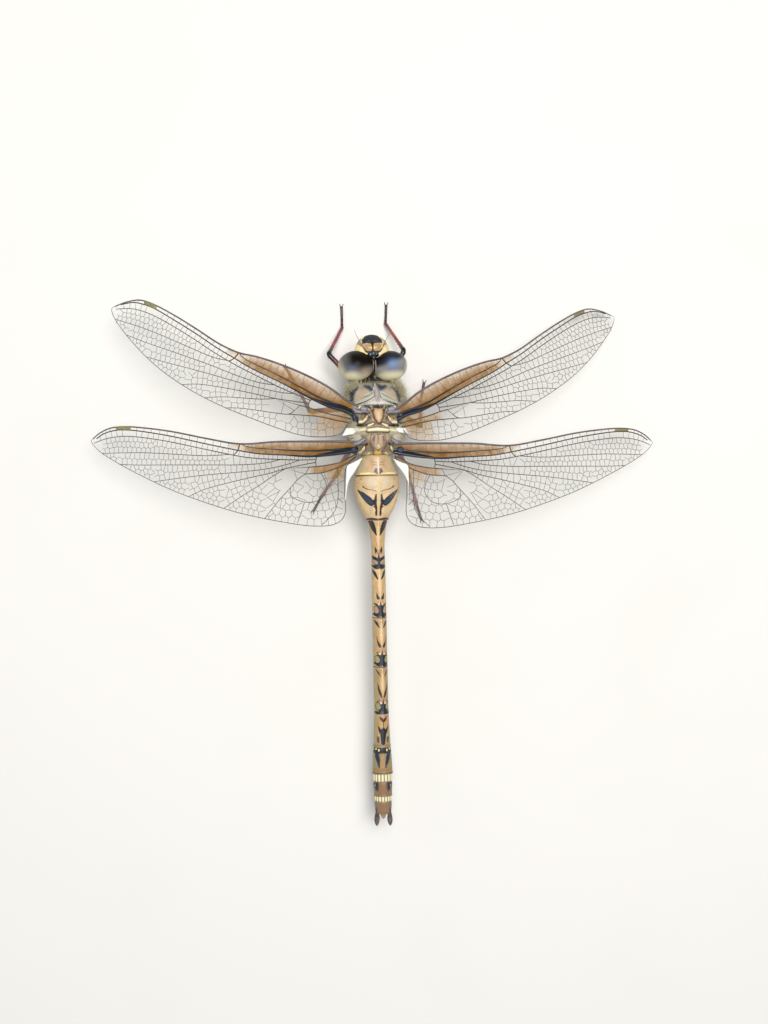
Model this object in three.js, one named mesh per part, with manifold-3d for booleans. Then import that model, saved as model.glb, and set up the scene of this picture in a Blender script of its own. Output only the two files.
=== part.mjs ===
// A hawker dragonfly at rest on its six feet, life size, in millimetres. +X is its right side,
// +Y the way it faces and +Z up. The floor is Z = 0, and the origin is the middle of its footprint.
// Until the last step, lengths along Y are measured forward from the waist, where the thorax meets
// the abdomen, and heights from the floor.
import * as THREE from "three";
import { mergeVertices } from "three/addons/utils/BufferGeometryUtils.js";
import Module from "manifold-3d";

const wasm = await Module();
wasm.setup();

const gap = 0.12; // the thin cut between neighbouring pieces
const bodySides = 16;
const limbSides = 6;
const wingSides = 8;
const rad = THREE.MathUtils.degToRad;
const { lerp, clamp } = THREE.MathUtils;
const vector = (x, y, z) => new THREE.Vector3(x, y, z);

// ---------- sizes ----------

const head = {
  turn: 2.5, // degrees to its left
  tilt: 8, // degrees over to its right
  neck: [-0.28, 11.6, 10.5],
  eye: { centre: [2.1, 13.25, 11.55], size: [2.9, 2.25, 3.0] },
  capsule: { centre: [0, 12.95, 10.2], size: [3.9, 1.75, 3.5] },
  frons: { centre: [0, 15.05, 11.6], size: [2.55, 2.55, 1.5] },
  clypeus: { centre: [0, 14.75, 9.75], size: [2.4, 2.4, 1.5] },
  labrum: { centre: [0, 14.45, 8.3], size: [1.95, 2.05, 1.15] },
  labium: { centre: [0, 13.4, 7.4], size: [2.1, 2.1, 1.0] },
};

// Body stations: [y, half width, half height, height of the middle]
const thoraxStations = [
  [0.1, 2.35, 2.5, 10.7],
  [1.4, 3.5, 3.7, 10.2],
  [3.4, 4.1, 4.4, 9.95],
  [5.8, 4.4, 4.6, 9.85],
  [7.8, 4.3, 4.35, 9.8],
  [9.2, 4.0, 3.9, 9.8],
  [10.2, 3.3, 3.0, 9.8],
  [10.6, 2.6, 2.4, 9.7],
];
const thoraxLean = 0.28;
const neckStations = [
  [10.2, 1.9, 2.1, 9.3],
  [10.8, 2.0, 2.2, 9.3],
  [11.4, 1.5, 1.6, 9.6],
];
const abdomenStations = [
  [-53, 0.85, 0.7, 7.75],
  [-52.0, 1.15, 0.9, 7.8],
  [-51.0, 1.28, 1.0, 7.8],
  [-49.0, 1.35, 1.15, 7.85],
  [-45.6, 1.5, 1.25, 7.95],
  [-42.2, 1.32, 1.2, 8.1],
  [-37.3, 1.08, 1.15, 8.35],
  [-30.5, 1.04, 1.15, 8.7],
  [-23.3, 1.04, 1.15, 9.1],
  [-16.2, 1.02, 1.15, 9.5],
  [-12.4, 0.98, 1.2, 9.75],
  [-9.9, 1.3, 1.5, 9.95],
  [-8.9, 1.65, 1.8, 10.05],
  [-7.3, 2.5, 2.35, 10.2],
  [-5.2, 3.15, 2.7, 10.35],
  [-2.75, 3.1, 2.75, 10.5],
  [-0.1, 2.2, 2.4, 10.65],
];
// Where each ring of the abdomen ends, and how many stations it takes
const rings = [
  [-2.75, 4],
  [-8.95, 7],
  [-16.2, 5],
  [-23.35, 2],
  [-30.5, 2],
  [-37.3, 2],
  [-42.0, 3],
  [-45.8, 3],
  [-49.2, 3],
  [-52.0, 3],
];

// Wing edges as [share of the span, mm ahead of the root], paired across the wing from root to tip
const foreWing = {
  span: 38.5,
  root: [3.1, 13.35],
  front: [
    [-0.01, 0.55],
    [0.04, 0.6],
    [0.1, 1.05],
    [0.16, 1.25],
    [0.24, 1.25],
    [0.33, 1.0],
    [0.41, 0.55],
    [0.478, -0.05],
    [0.56, -0.1],
    [0.66, 0.38],
    [0.76, 0.78],
    [0.85, 0.92],
    [0.91, 0.6],
    [0.955, -0.55],
    [0.985, -1.8],
  ],
  rear: [
    [-0.01, -2.6],
    [0.0, -4.2],
    [0.05, -5.6],
    [0.13, -6.8],
    [0.23, -7.4],
    [0.33, -7.75],
    [0.42, -8.0],
    [0.51, -8.05],
    [0.6, -7.85],
    [0.7, -7.3],
    [0.79, -6.4],
    [0.87, -5.25],
    [0.93, -4.2],
    [0.97, -3.3],
    [0.99, -2.6],
  ],
};
const hindWing = {
  span: 39.5,
  root: [2.8, 13.0],
  front: [
    [-0.005, 0.6],
    [0.025, 0.6],
    [0.06, 0.52],
    [0.1, 0.42],
    [0.15, 0.28],
    [0.21, 0.1],
    [0.3, -0.2],
    [0.425, -0.85],
    [0.55, -0.42],
    [0.68, 0.22],
    [0.78, 0.48],
    [0.86, 0.5],
    [0.92, 0.15],
    [0.96, -0.65],
    [0.985, -1.6],
  ],
  rear: [
    [-0.005, -1.5],
    [0.03, -3.2],
    [0.028, -6.5],
    [0.02, -9.7],
    [0.055, -11.3],
    [0.14, -11.8],
    [0.26, -11.5],
    [0.4, -10.8],
    [0.52, -9.8],
    [0.64, -8.55],
    [0.74, -7.2],
    [0.83, -5.8],
    [0.91, -4.4],
    [0.96, -3.3],
    [0.988, -2.3],
  ],
};
const wingThickness = 0.5;
const wingPitch = rad(5); // the front edge hangs a little lower than the rear edge
const earlyDroop = 0.55; // the share of the droop that runs straight out, the rest curling in late
const wingPoses = {
  forewing_left: { wing: foreWing, side: -1, y: 6.9, sweep: 27.4, droop: 6.5 },
  forewing_right: { wing: foreWing, side: 1, y: 6.1, sweep: 27.4, droop: 18.5 },
  hindwing_left: { wing: hindWing, side: -1, y: 1.45, sweep: 5.6, droop: 8 },
  hindwing_right: { wing: hindWing, side: 1, y: 1.05, sweep: 3.7, droop: 12.5 },
};

// The legs, with each foot on the floor from the ankle to the toe
const legs = {
  fore_left: { hip: [-2.1, 10.5, 5.6], knee: [-6.75, 15.5, 5.6], ankle: [-4.8, 20.1, 0.8], toe: [-4.85, 23.4] },
  fore_right: { hip: [1.5, 10.5, 5.6], knee: [4.45, 15.8, 5.6], ankle: [1.8, 20.6, 0.8], toe: [1.95, 23.5] },
  mid_left: { hip: [-2.3, 7.6, 5.0], knee: [-9.6, 7.0, 6.6], ankle: [-12.25, 12.1, 0.8], toe: [-13.6, 14.4] },
  mid_right: { hip: [1.6, 7.8, 4.9], knee: [6.6, 4.4, 8.1], ankle: [6.9, 8.8, 0.8], toe: [7.5, 11.6] },
  hind_left: { hip: [-1.6, 5.4, 4.8], knee: [-5.9, -2.5, 8.0], ankle: [-8.45, -5.45, 0.8], toe: [-9.8, -7.7] },
  hind_right: { hip: [1.6, 5.4, 4.8], knee: [4.7, -2.7, 8.0], ankle: [6.0, -7.0, 0.8], toe: [6.7, -9.4] },
};
const limbRadius = { coxa: 0.85, trochanter: 0.52, femur: 0.46, knee: 0.36, tibia: 0.27, ankle: 0.25, toe: 0.25 };

// ---------- making solids ----------

// A smooth function through stations of [position, value, value, ...].
function through(stations) {
  const places = stations.map((s) => s[0]);
  const size = stations[0].length - 1;
  const curve = new THREE.CubicInterpolant(places, stations.flatMap((s) => s.slice(1)), size);
  return (t) => Array.from(curve.evaluate(t)).slice(0, size);
}

function solidOf(geometry) {
  const bare = geometry.toNonIndexed();
  bare.deleteAttribute("normal");
  bare.deleteAttribute("uv");
  const merged = mergeVertices(bare, 1e-4);
  return new wasm.Manifold(
    new wasm.Mesh({
      numProp: 3,
      vertProperties: new Float32Array(merged.attributes.position.array),
      triVerts: new Uint32Array(merged.index.array),
    }),
  );
}

function geometryOf(solid) {
  const mesh = solid.getMesh();
  const geometry = new THREE.BufferGeometry();
  geometry.setAttribute("position", new THREE.BufferAttribute(mesh.vertProperties, 3));
  geometry.setIndex(new THREE.BufferAttribute(mesh.triVerts, 1));
  const faceted = geometry.toNonIndexed();
  faceted.computeVertexNormals();
  return faceted;
}

// A closed tube: centre(t) runs along its axis, and edge(t, cos, sin) is the way from there to its
// skin, where the angle turns clockwise to an eye that looks along the axis.
function tube(steps, sides, centre, edge) {
  const geometry = new THREE.CylinderGeometry(1, 1, 1, sides, steps);
  const position = geometry.attributes.position;
  for (let i = 0; i < position.count; i++) {
    const t = 0.5 - position.getY(i);
    const [x, z] = [position.getX(i), position.getZ(i)];
    const place = Math.hypot(x, z) < 0.5 ? centre(t) : centre(t).add(edge(t, x, z));
    position.setXYZ(i, ...place);
  }
  return solidOf(geometry);
}

const fuller = (value, power) => Math.sign(value) * Math.abs(value) ** power;

// A body part along Y with the given stations. A squareness under 1 fills the section's corners, and
// lean(y) tips the sections backwards by that much of their height.
function barrel(stations, frontY, backY, steps, shape = {}) {
  const { grow = 0, square = 1, sides = bodySides, lean = () => 0 } = shape;
  const size = through(stations);
  const at = (t) => lerp(frontY + grow, backY - grow, t);
  return tube(
    steps,
    sides,
    (t) => vector(0, at(t), size(at(t))[2]),
    (t, x, z) => {
      const [halfWidth, halfHeight] = size(at(t));
      const up = fuller(z, square) * (halfHeight + grow);
      return vector(fuller(x, square) * (halfWidth + grow), -lean(at(t)) * up, up);
    },
  );
}

function egg({ centre, size }, grow = 0, round = 16) {
  const geometry = new THREE.SphereGeometry(1, round, Math.round(round * 0.65));
  geometry.scale(...size.map((s) => s + grow));
  geometry.translate(...centre);
  return solidOf(geometry);
}

function box([x0, y0, z0], [x1, y1, z1]) {
  const geometry = new THREE.BoxGeometry(x1 - x0, y1 - y0, z1 - z0);
  geometry.translate((x0 + x1) / 2, (y0 + y1) / 2, (z0 + z1) / 2);
  return solidOf(geometry);
}

const lessAll = (solid, cutters) => cutters.reduce((left, cutter) => left.subtract(cutter), solid);
const largest = (solid) => solid.decompose().sort((a, b) => b.volume() - a.volume())[0];

// A leg piece along points of [x, y, z, radius], with rounded ends.
function limb(points, grow = 0) {
  const line = new THREE.CatmullRomCurve3(points.map(([x, y, z]) => vector(x, y, z)));
  const radii = through(points.map((p, i) => [i / (points.length - 1), p[3]]));
  const endShare = 0.08;
  const alongLine = (t) => clamp((t - endShare) / (1 - 2 * endShare), 0, 1);
  const roundEnd = (t) => Math.sqrt(clamp(Math.min(t, 1 - t) / endShare, 0.15, 1));
  return tube(
    points.length + 5,
    limbSides,
    (t) => {
      const reach = radii(alongLine(t))[0] * 0.7 + grow;
      const past = clamp(t / endShare - 1, -1, 0) + clamp((t - 1) / endShare + 1, 0, 1);
      return line.getPoint(alongLine(t)).addScaledVector(line.getTangent(alongLine(t)), past * reach);
    },
    (t, x, z) => {
      const ahead = line.getTangent(alongLine(t));
      const side = vector(0, 0, 1).cross(ahead).normalize();
      const radius = (radii(alongLine(t))[0] + grow) * roundEnd(t);
      return side.clone().multiplyScalar(x * radius).addScaledVector(ahead.cross(side), z * radius);
    },
  );
}

// ---------- the model ----------

const finish = (color, roughness, more) => new THREE.MeshStandardMaterial({ color, roughness, ...more });
const materials = {
  eye: finish(0x6f6a58, 0.25),
  face: finish(0xd8a860, 0.5),
  lip: finish(0x3a2c22, 0.45),
  thorax: finish(0xa99a82, 0.7),
  leg: finish(0x7a2c24, 0.4),
  foot: finish(0x1d1a1c, 0.4),
  wing: finish(0xc9b48a, 0.25, { transparent: true, opacity: 0.5 }),
  abdomen: finish(0xcfa267, 0.5),
  tail: finish(0x4a3c34, 0.5),
};
const dragonfly = new THREE.Group();

function addPiece(name, solid, material) {
  const mesh = new THREE.Mesh(geometryOf(solid), materials[material]);
  mesh.name = name;
  dragonfly.add(mesh);
}

// The head turns and tilts on the neck.
function posed(solid) {
  const back = head.neck.map((v) => -v);
  return solid.translate([0, back[1], back[2]]).rotate([0, head.tilt, head.turn]).translate(head.neck);
}

function makeHead() {
  const eye = (side, grow) => {
    const { centre, size } = head.eye;
    const inner = gap / 2 - grow; // the two eyes meet on the midline
    const half = box([inner, 5, 0], [12, 20, 20]).intersect(egg({ centre, size }, grow, 17));
    return side > 0 ? half : half.mirror([1, 0, 0]);
  };
  addPiece("eye_right", posed(eye(1, 0)), "eye");
  addPiece("eye_left", posed(eye(-1, 0)), "eye");

  const eyeCutters = [eye(1, gap), eye(-1, gap)];
  const cutters = [...eyeCutters];
  const faceStart = head.capsule.centre[1] + 0.9;
  const behindFace = box([-8, -5, 0], [8, faceStart, 20]);
  for (const [name, material] of [["frons", "face"], ["clypeus", "face"], ["labrum", "lip"], ["labium", "face"]]) {
    addPiece(name, posed(largest(lessAll(egg(head[name]), [...cutters, behindFace]))), material);
    cutters.push(egg(head[name], gap));
  }
  const capsule = egg(head.capsule).intersect(behindFace.translate([0, -gap, 0]));
  addPiece("head", posed(largest(lessAll(capsule, eyeCutters))), "face");

  // Each feeler is a thick joint and a bristle, beside the vertex between the eyes and the frons.
  for (const [name, side] of [["right", 1], ["left", -1]]) {
    const feeler = limb([
      [side * 1.0, 14.95, 13.05, 0.3],
      [side * 1.45, 15.5, 13.4, 0.27],
      [side * 2.6, 17.9, 13.75, 0.25],
    ]);
    addPiece("antenna_" + name, posed(largest(lessAll(feeler, cutters))), "lip");
  }
}

// The thorax leans back, with the wings set far behind the legs, and stands upright again in front.
const lean = (y) => thoraxLean * clamp((y - 0.1) / 4, 0, 1) * (1 - THREE.MathUtils.smoothstep(y, 6.5, 10));
const thorax = (grow) => barrel(thoraxStations, 10.5, 0.1, 12, { grow, square: 0.86, sides: 18, lean });
const neck = (grow) => barrel(neckStations, 11.3, 10.22, 3, { grow, sides: 14 });
const headCutter = posed(egg(head.capsule, gap));
const thoraxCutter = thorax(gap);

function makeWing({ wing, side, y, sweep, droop }) {
  const edges = [wing.front, wing.rear].map(
    (edge) => new THREE.SplineCurve(edge.map(([share, ahead]) => new THREE.Vector2(share, ahead))),
  );
  const reach = wing.span * Math.cos(rad(droop));
  const drop = wing.span * Math.sin(rad(droop));
  const place = ({ x: share, y: ahead }) =>
    vector(
      side * (wing.root[0] + reach * share * Math.cos(rad(sweep)) - ahead * Math.sin(rad(sweep))),
      y + reach * share * Math.sin(rad(sweep)) + ahead * Math.cos(rad(sweep)),
      wing.root[1] - drop * lerp(share * share, share, earlyDroop) - ahead * Math.sin(wingPitch),
    );
  const acrossAt = (t) => edges.map((edge) => edge.getPoint(t));
  return tube(
    20,
    wingSides,
    (t) => place(new THREE.Vector2().lerpVectors(...acrossAt(t), 0.5)),
    (t, x, z) => {
      const [front, rear] = acrossAt(t);
      const middle = new THREE.Vector2().lerpVectors(front, rear, 0.5);
      const skin = new THREE.Vector2().lerpVectors(middle, front, fuller(x, 0.5));
      const lift = vector(0, 0, (fuller(z, 0.35) * side * wingThickness) / 2);
      return place(skin).sub(place(middle)).add(lift);
    },
  );
}

function makeLeg(name, { hip, knee, ankle, toe }, bodyCutters) {
  const r = limbRadius;
  const inBody = [hip[0] * 0.5, hip[1], hip[2] + 2];
  const between = (a, b, share) => a.map((v, i) => lerp(v, b[i], share));
  const sole = [...between(ankle.slice(0, 2), toe, 0.45), 0.24];
  const pieces = [
    ["coxa", [[...inBody, r.coxa], [...hip, r.trochanter]], "leg"],
    ["femur", [[...hip, r.trochanter], [...between(hip, knee, 0.4), r.femur], [...knee, r.knee]], "leg"],
    ["tibia", [[...knee, r.knee], [...between(knee, ankle, 0.5), r.tibia], [...ankle, r.ankle]], "leg"],
    ["tarsus", [[...ankle, r.ankle], [...sole, r.toe], [...toe, 0.22, r.toe]], "foot"],
  ];
  const aboveFloor = box([-30, -30, 0], [30, 30, 30]);
  let cutters = bodyCutters;
  for (const [piece, points, material] of pieces) {
    addPiece(piece + "_" + name, largest(lessAll(limb(points), cutters).intersect(aboveFloor)), material);
    cutters = [...bodyCutters, limb(points, gap)];
  }
}

function makeAbdomen() {
  let start = -gap;
  rings.forEach(([end, steps], i) => {
    addPiece("abdomen_" + (i + 1), barrel(abdomenStations, start, end + gap, steps), "abdomen");
    start = end;
  });
  // Two paddle claspers, with one short plate under and between them
  const tail = { y: start + 0.2, z: through(abdomenStations)(start)[2] };
  const lastRing = barrel(abdomenStations, start + 1, start, 2, { grow: gap });
  const clasperWidth = through([
    [0, 0.25],
    [0.35, 0.26],
    [0.72, 0.4],
    [0.93, 0.3],
    [1, 0.18],
  ]);
  for (const [name, side] of [["right", 1], ["left", -1]]) {
    const clasper = tube(
      6,
      limbSides,
      (t) => vector(side * (0.7 + 0.22 * t), tail.y - 2.0 * t, tail.z + 0.35 - 0.1 * t),
      (t, x, z) => vector(clasperWidth(t)[0] * x, 0, 0.25 * z),
    );
    addPiece("cercus_" + name, clasper.subtract(lastRing), "tail");
  }
  const plate = tube(
    2,
    limbSides,
    (t) => vector(0, tail.y - 1.3 * t, tail.z - 0.42),
    (t, x, z) => vector((0.42 - 0.15 * t) * x, 0, 0.25 * z),
  );
  addPiece("epiproct", plate.subtract(lastRing), "tail");
}

makeHead();
addPiece("prothorax", largest(lessAll(neck(0), [headCutter, thoraxCutter])), "thorax");
addPiece("thorax", thorax(0), "thorax");
for (const [name, pose] of Object.entries(wingPoses)) {
  addPiece(name, largest(makeWing(pose).subtract(thoraxCutter)), "wing");
}
const bodyCutters = [thoraxCutter, neck(gap), headCutter];
for (const [name, pose] of Object.entries(legs)) makeLeg(name, pose, bodyCutters);
makeAbdomen();

const footprint = new THREE.Box3().setFromObject(dragonfly).getCenter(vector(0, 0, 0));
dragonfly.position.set(-footprint.x, -footprint.y, 0);

export default dragonfly;
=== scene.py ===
# A hawker dragonfly at rest on a pale floor: a life-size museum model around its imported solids.
import math
import random

import bpy
import numpy as np
from mathutils import Matrix, Vector, geometry


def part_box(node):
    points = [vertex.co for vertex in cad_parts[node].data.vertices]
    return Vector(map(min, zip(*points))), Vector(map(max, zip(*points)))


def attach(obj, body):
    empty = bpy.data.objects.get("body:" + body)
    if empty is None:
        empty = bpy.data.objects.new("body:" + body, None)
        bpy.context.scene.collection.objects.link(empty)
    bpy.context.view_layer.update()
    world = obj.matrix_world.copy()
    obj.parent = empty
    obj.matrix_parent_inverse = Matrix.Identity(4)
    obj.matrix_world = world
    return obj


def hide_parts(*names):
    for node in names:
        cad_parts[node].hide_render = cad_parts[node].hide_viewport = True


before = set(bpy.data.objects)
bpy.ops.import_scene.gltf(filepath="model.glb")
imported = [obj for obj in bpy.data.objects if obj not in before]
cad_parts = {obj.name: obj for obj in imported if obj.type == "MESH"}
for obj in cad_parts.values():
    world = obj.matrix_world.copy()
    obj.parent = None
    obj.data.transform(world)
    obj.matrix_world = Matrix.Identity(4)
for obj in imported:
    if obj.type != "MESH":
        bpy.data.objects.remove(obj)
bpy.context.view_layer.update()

# Lengths below are millimetres in the body's own frame: x from its axis, y forward from the waist,
# z above the floor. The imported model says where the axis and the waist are.
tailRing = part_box("abdomen_8")
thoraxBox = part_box("thorax")
axisX = (tailRing[0].x + tailRing[1].x) / 2
waistY = thoraxBox[0].y - 0.0001
toFrame = Matrix.Translation((axisX, waistY, 0)) @ Matrix.Scale(0.001, 4)


def clear():
    if bpy.context.mode != "OBJECT":
        bpy.ops.object.mode_set(mode="OBJECT")
    bpy.ops.object.select_all(action="DESELECT")


def pick(piece):
    clear()
    piece.select_set(True)
    bpy.context.view_layer.objects.active = piece


def lerp(a, b, share):
    return a + (b - a) * share


def clamp(value, low=0.0, high=1.0):
    return max(low, min(high, value))


def ease(value, start, end):
    share = np.clip((value - start) / (end - start), 0, 1)
    return share * share * (3 - 2 * share)


def through(stations):
    # a smooth function through rows of [place, value, value, ...]
    rows = sorted(stations)
    places = [row[0] for row in rows]

    def at(place):
        i = min(max(sum(p <= place for p in places) - 1, 0), len(rows) - 2)
        p0, p1 = places[i], places[i + 1]
        share = clamp((place - p0) / (p1 - p0))
        values = []
        for k in range(1, len(rows[0])):
            def slope(j):
                if j in (0, len(rows) - 1):
                    other = 1 if j == 0 else len(rows) - 2
                    return (rows[other][k] - rows[j][k]) / (places[other] - places[j])
                return (rows[j + 1][k] - rows[j - 1][k]) / (places[j + 1] - places[j - 1])
            s0, s1 = slope(i) * (p1 - p0), slope(i + 1) * (p1 - p0)
            t2, t3 = share**2, share**3
            values.append(
                (2 * t3 - 3 * t2 + 1) * rows[i][k] + (t3 - 2 * t2 + share) * s0
                + (3 * t2 - 2 * t3) * rows[i + 1][k] + (t3 - t2) * s1
            )
        return values

    return at


def spline(points, steps):
    # a smooth line through points of any size, with so many steps between neighbours
    rows = [points[0], *points, points[-1]]
    line = []
    for a, b, c, d in zip(rows, rows[1:], rows[2:], rows[3:]):
        for step in range(steps):
            t = step / steps
            line.append(tuple(
                0.5 * (2 * q + (r - p) * t + (2 * p - 5 * q + 4 * r - s) * t**2
                       + (3 * q - p - 3 * r + s) * t**3)
                for p, q, r, s in zip(a, b, c, d)
            ))
    return [*line, tuple(points[-1])]


def coords(piece):
    flat = np.zeros(len(piece.data.vertices) * 3, np.float32)
    piece.data.vertices.foreach_get("co", flat)
    return flat.reshape(-1, 3).astype(float)


def mould(piece, places):
    # moves every vertex to its new place
    piece.data.vertices.foreach_set("co", np.asarray(places, np.float32).ravel())
    piece.data.update()


def rollOver(points, middleZ, angle):
    # turns points about the body's long axis, in radians
    x, z = points[:, 0].copy(), points[:, 2] - middleZ
    points[:, 0] = x * np.cos(angle) + z * np.sin(angle)
    points[:, 2] = middleZ - x * np.sin(angle) + z * np.cos(angle)


def keepNumbers(piece, name, values):
    # stores one number, or three, for each vertex, for the material to read
    values = np.asarray(values, np.float32)
    kind, field = ("FLOAT", "value") if values.ndim == 1 else ("FLOAT_VECTOR", "vector")
    layer = piece.data.attributes.new(name, kind, "POINT")
    layer.data.foreach_set(field, values.ravel())


def outside(x, y, strokes):
    # how far each point lies outside the nearest brush stroke, in mm; strokes are [x, y, radius] rows
    best = np.full(len(x), 3.0)
    for stroke in strokes:
        for (ax, ay, ar), (bx, by, br) in zip(stroke, stroke[1:] or stroke):
            dx, dy = bx - ax, by - ay
            t = np.clip(((x - ax) * dx + (y - ay) * dy) / max(dx * dx + dy * dy, 1e-9), 0, 1)
            best = np.minimum(best, np.hypot(x - ax - t * dx, y - ay - t * dy) - ar - (br - ar) * t)
    return best


def sliceOff(place, normal):
    # cuts the active piece through and closes it, and takes away what lies behind the cut
    bpy.ops.object.mode_set(mode="EDIT")
    bpy.ops.mesh.select_all(action="SELECT")
    bpy.ops.mesh.bisect(plane_co=place, plane_no=normal, clear_inner=True, use_fill=True)
    bpy.ops.object.mode_set(mode="OBJECT")


def loft(name, rings, sides=32):
    # one ring of vertices extruded and resized from station to station; rings are (place, wide, high)
    clear()
    place, wide, high = rings[0]
    bpy.ops.mesh.primitive_circle_add(
        vertices=sides, radius=1, fill_type="NGON", location=place, rotation=(math.pi / 2, 0, 0)
    )
    piece = bpy.context.object
    piece.name = piece.data.name = name
    bpy.ops.object.mode_set(mode="EDIT")
    bpy.ops.mesh.select_all(action="SELECT")
    bpy.ops.transform.resize(value=(wide, 1, high), center_override=place)
    for (p0, w0, h0), (p1, w1, h1) in zip(rings, rings[1:]):
        step = Vector(p1) - Vector(p0)
        bpy.ops.mesh.extrude_region_move(TRANSFORM_OT_translate={"value": step})
        bpy.ops.transform.resize(value=(w1 / w0, 1, h1 / h0), center_override=p1)
    bpy.ops.mesh.select_all(action="SELECT")
    bpy.ops.mesh.normals_make_consistent(inside=False)
    bpy.ops.object.mode_set(mode="OBJECT")
    bpy.ops.object.transform_apply(location=True, rotation=True, scale=True)
    return piece


def ball(name, middle, size, rings=48, segments=64, turn=(0, 0, 0)):
    # a sphere added at its place and sized in edit mode
    clear()
    bpy.ops.mesh.primitive_uv_sphere_add(
        segments=segments, ring_count=rings, radius=1, location=middle, rotation=turn
    )
    piece = bpy.context.object
    piece.name = piece.data.name = name
    bpy.ops.object.mode_set(mode="EDIT")
    bpy.ops.mesh.select_all(action="SELECT")
    bpy.ops.transform.resize(value=size, orient_type="GLOBAL", center_override=middle)
    bpy.ops.object.mode_set(mode="OBJECT")
    bpy.ops.object.transform_apply(location=True, rotation=True, scale=True)
    return piece


def joinAll(pieces, name):
    clear()
    for piece in pieces:
        piece.select_set(True)
    bpy.context.view_layer.objects.active = pieces[0]
    bpy.ops.object.join()
    pieces[0].name = pieces[0].data.name = name
    return pieces[0]


def smoother(piece, levels=1):
    pick(piece)
    modifier = piece.modifiers.new("Smooth", "SUBSURF")
    modifier.levels = modifier.render_levels = levels
    bpy.ops.object.modifier_apply(modifier=modifier.name)
    return piece


def settle(piece, material, nodes=(), turn=None):
    # takes a piece from millimetres to the frame's metres and hands it to the frame
    pick(piece)
    if piece.data.attributes.get("place") is None:
        keepNumbers(piece, "place", coords(piece))
    piece.data.transform(toFrame @ (turn or Matrix()))
    bpy.ops.object.shade_smooth()
    piece.data.materials.clear()
    piece.data.materials.append(material)
    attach(piece, "root")
    if nodes:
        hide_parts(*nodes)
    return piece


def colourOf(code):
    # sRGB hex to linear
    parts = [int(code[i:i + 2], 16) / 255 for i in (1, 3, 5)]
    return (*[c / 12.92 if c <= 0.04045 else ((c + 0.055) / 1.055) ** 2.4 for c in parts], 1)


def addNode(tree, kind, feeds=None, **settings):
    made = tree.nodes.new("ShaderNode" + kind)
    for name, value in settings.items():
        setattr(made, name, value)
    for socket, value in (feeds or {}).items():
        if isinstance(value, bpy.types.Node):
            value = value.outputs[0]
        if isinstance(value, bpy.types.NodeSocket):
            tree.links.new(value, made.inputs[socket])
        else:
            made.inputs[socket].default_value = value
    return made


def newMaterial(name, **sockets):
    material = bpy.data.materials.new(name)
    material.use_nodes = True
    shader = material.node_tree.nodes["Principled BSDF"]
    for socket, value in sockets.items():
        shader.inputs[socket.replace("_", " ")].default_value = value
    return material, material.node_tree, shader


def stain(tree, share, under, over):
    made = addNode(tree, "Mix", {0: share}, data_type="RGBA", clamp_factor=True)
    for socket, value in ((6, under), (7, over)):
        if isinstance(value, str):
            made.inputs[socket].default_value = colourOf(value)
        else:
            tree.links.new(value, made.inputs[socket])
    return made.outputs[2]


def mottle(tree, sizeMm, detail=2.0):
    # noise about 0, in Object coordinates, its grain in millimetres
    where = addNode(tree, "TexCoord")
    made = addNode(
        tree, "TexNoise", {"Vector": where.outputs["Object"], "Scale": 1000 / sizeMm, "Detail": detail}
    )
    return addNode(tree, "Math", {0: made.outputs[0], 1: 0.5}, operation="SUBTRACT").outputs[0]


def clouds(tree, under, over, grainMm, low=-0.15, high=0.25, most=1.0, detail=2.0):
    # soft clouds of a second shade; low and high are where in the mottle they begin and are full
    share = addNode(tree, "MapRange", {"Value": mottle(tree, grainMm, detail), 1: low, 2: high, 4: most})
    return stain(tree, share.outputs[0], under, over)


def roughen(tree, shader, grainMm, depthMm, strength, detail=2.0):
    # a fine relief in the surface
    feeds = {"Height": mottle(tree, grainMm, detail), "Strength": strength, "Distance": depthMm / 1000}
    tree.links.new(addNode(tree, "Bump", feeds).outputs[0], shader.inputs["Normal"])


def cloudedMaterial(name, under, over, grainMm, *cloud, relief=None, detail=2.0, **sockets):
    # a finish of two shades that run into each other; cloud is where they begin and are full, and at most
    material, tree, shader = newMaterial(name, **sockets)
    colour = clouds(tree, under, over, grainMm, *cloud, detail=detail)
    tree.links.new(colour, shader.inputs["Base Color"])
    if relief:
        roughen(tree, shader, *relief)
    return material


def layMark(tree, under, name, colour, edge=0.04, ragged=0.1, strength=1.0):
    # lays a mark over what is under it; its edge is a fine ragged line, as pigment has in chitin
    far = addNode(tree, "Attribute", attribute_name=name).outputs["Fac"]
    rough = addNode(tree, "Math", {0: mottle(tree, 0.35), 1: ragged, 2: far}, operation="MULTIPLY_ADD")
    share = addNode(
        tree, "MapRange",
        {"Value": rough, "From Min": -edge, "From Max": edge, "To Min": strength, "To Max": 0.0},
        interpolation_type="SMOOTHSTEP",
    )
    return stain(tree, share.outputs[0], under, colour)


def layMarks(tree, colour, marks, fine, coarse):
    # every mark of a piece in turn; the soft ones have the more ragged edge
    for mark, (shade, edge, _) in marks.items():
        colour = layMark(tree, colour, mark, shade, edge, fine if edge < 0.1 else coarse)
    return colour


studio = {
    "eye": (0.99, -8.0, 191.0), "roll": -1.17, "lens": 44.05, "floor": "#e7e4de",
    "key": {"place": (50, 50, 410), "size": 170, "power": 1.75},
    "fill": {"place": (-260, 160, 260), "size": 300, "power": 0.25},
}


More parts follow.
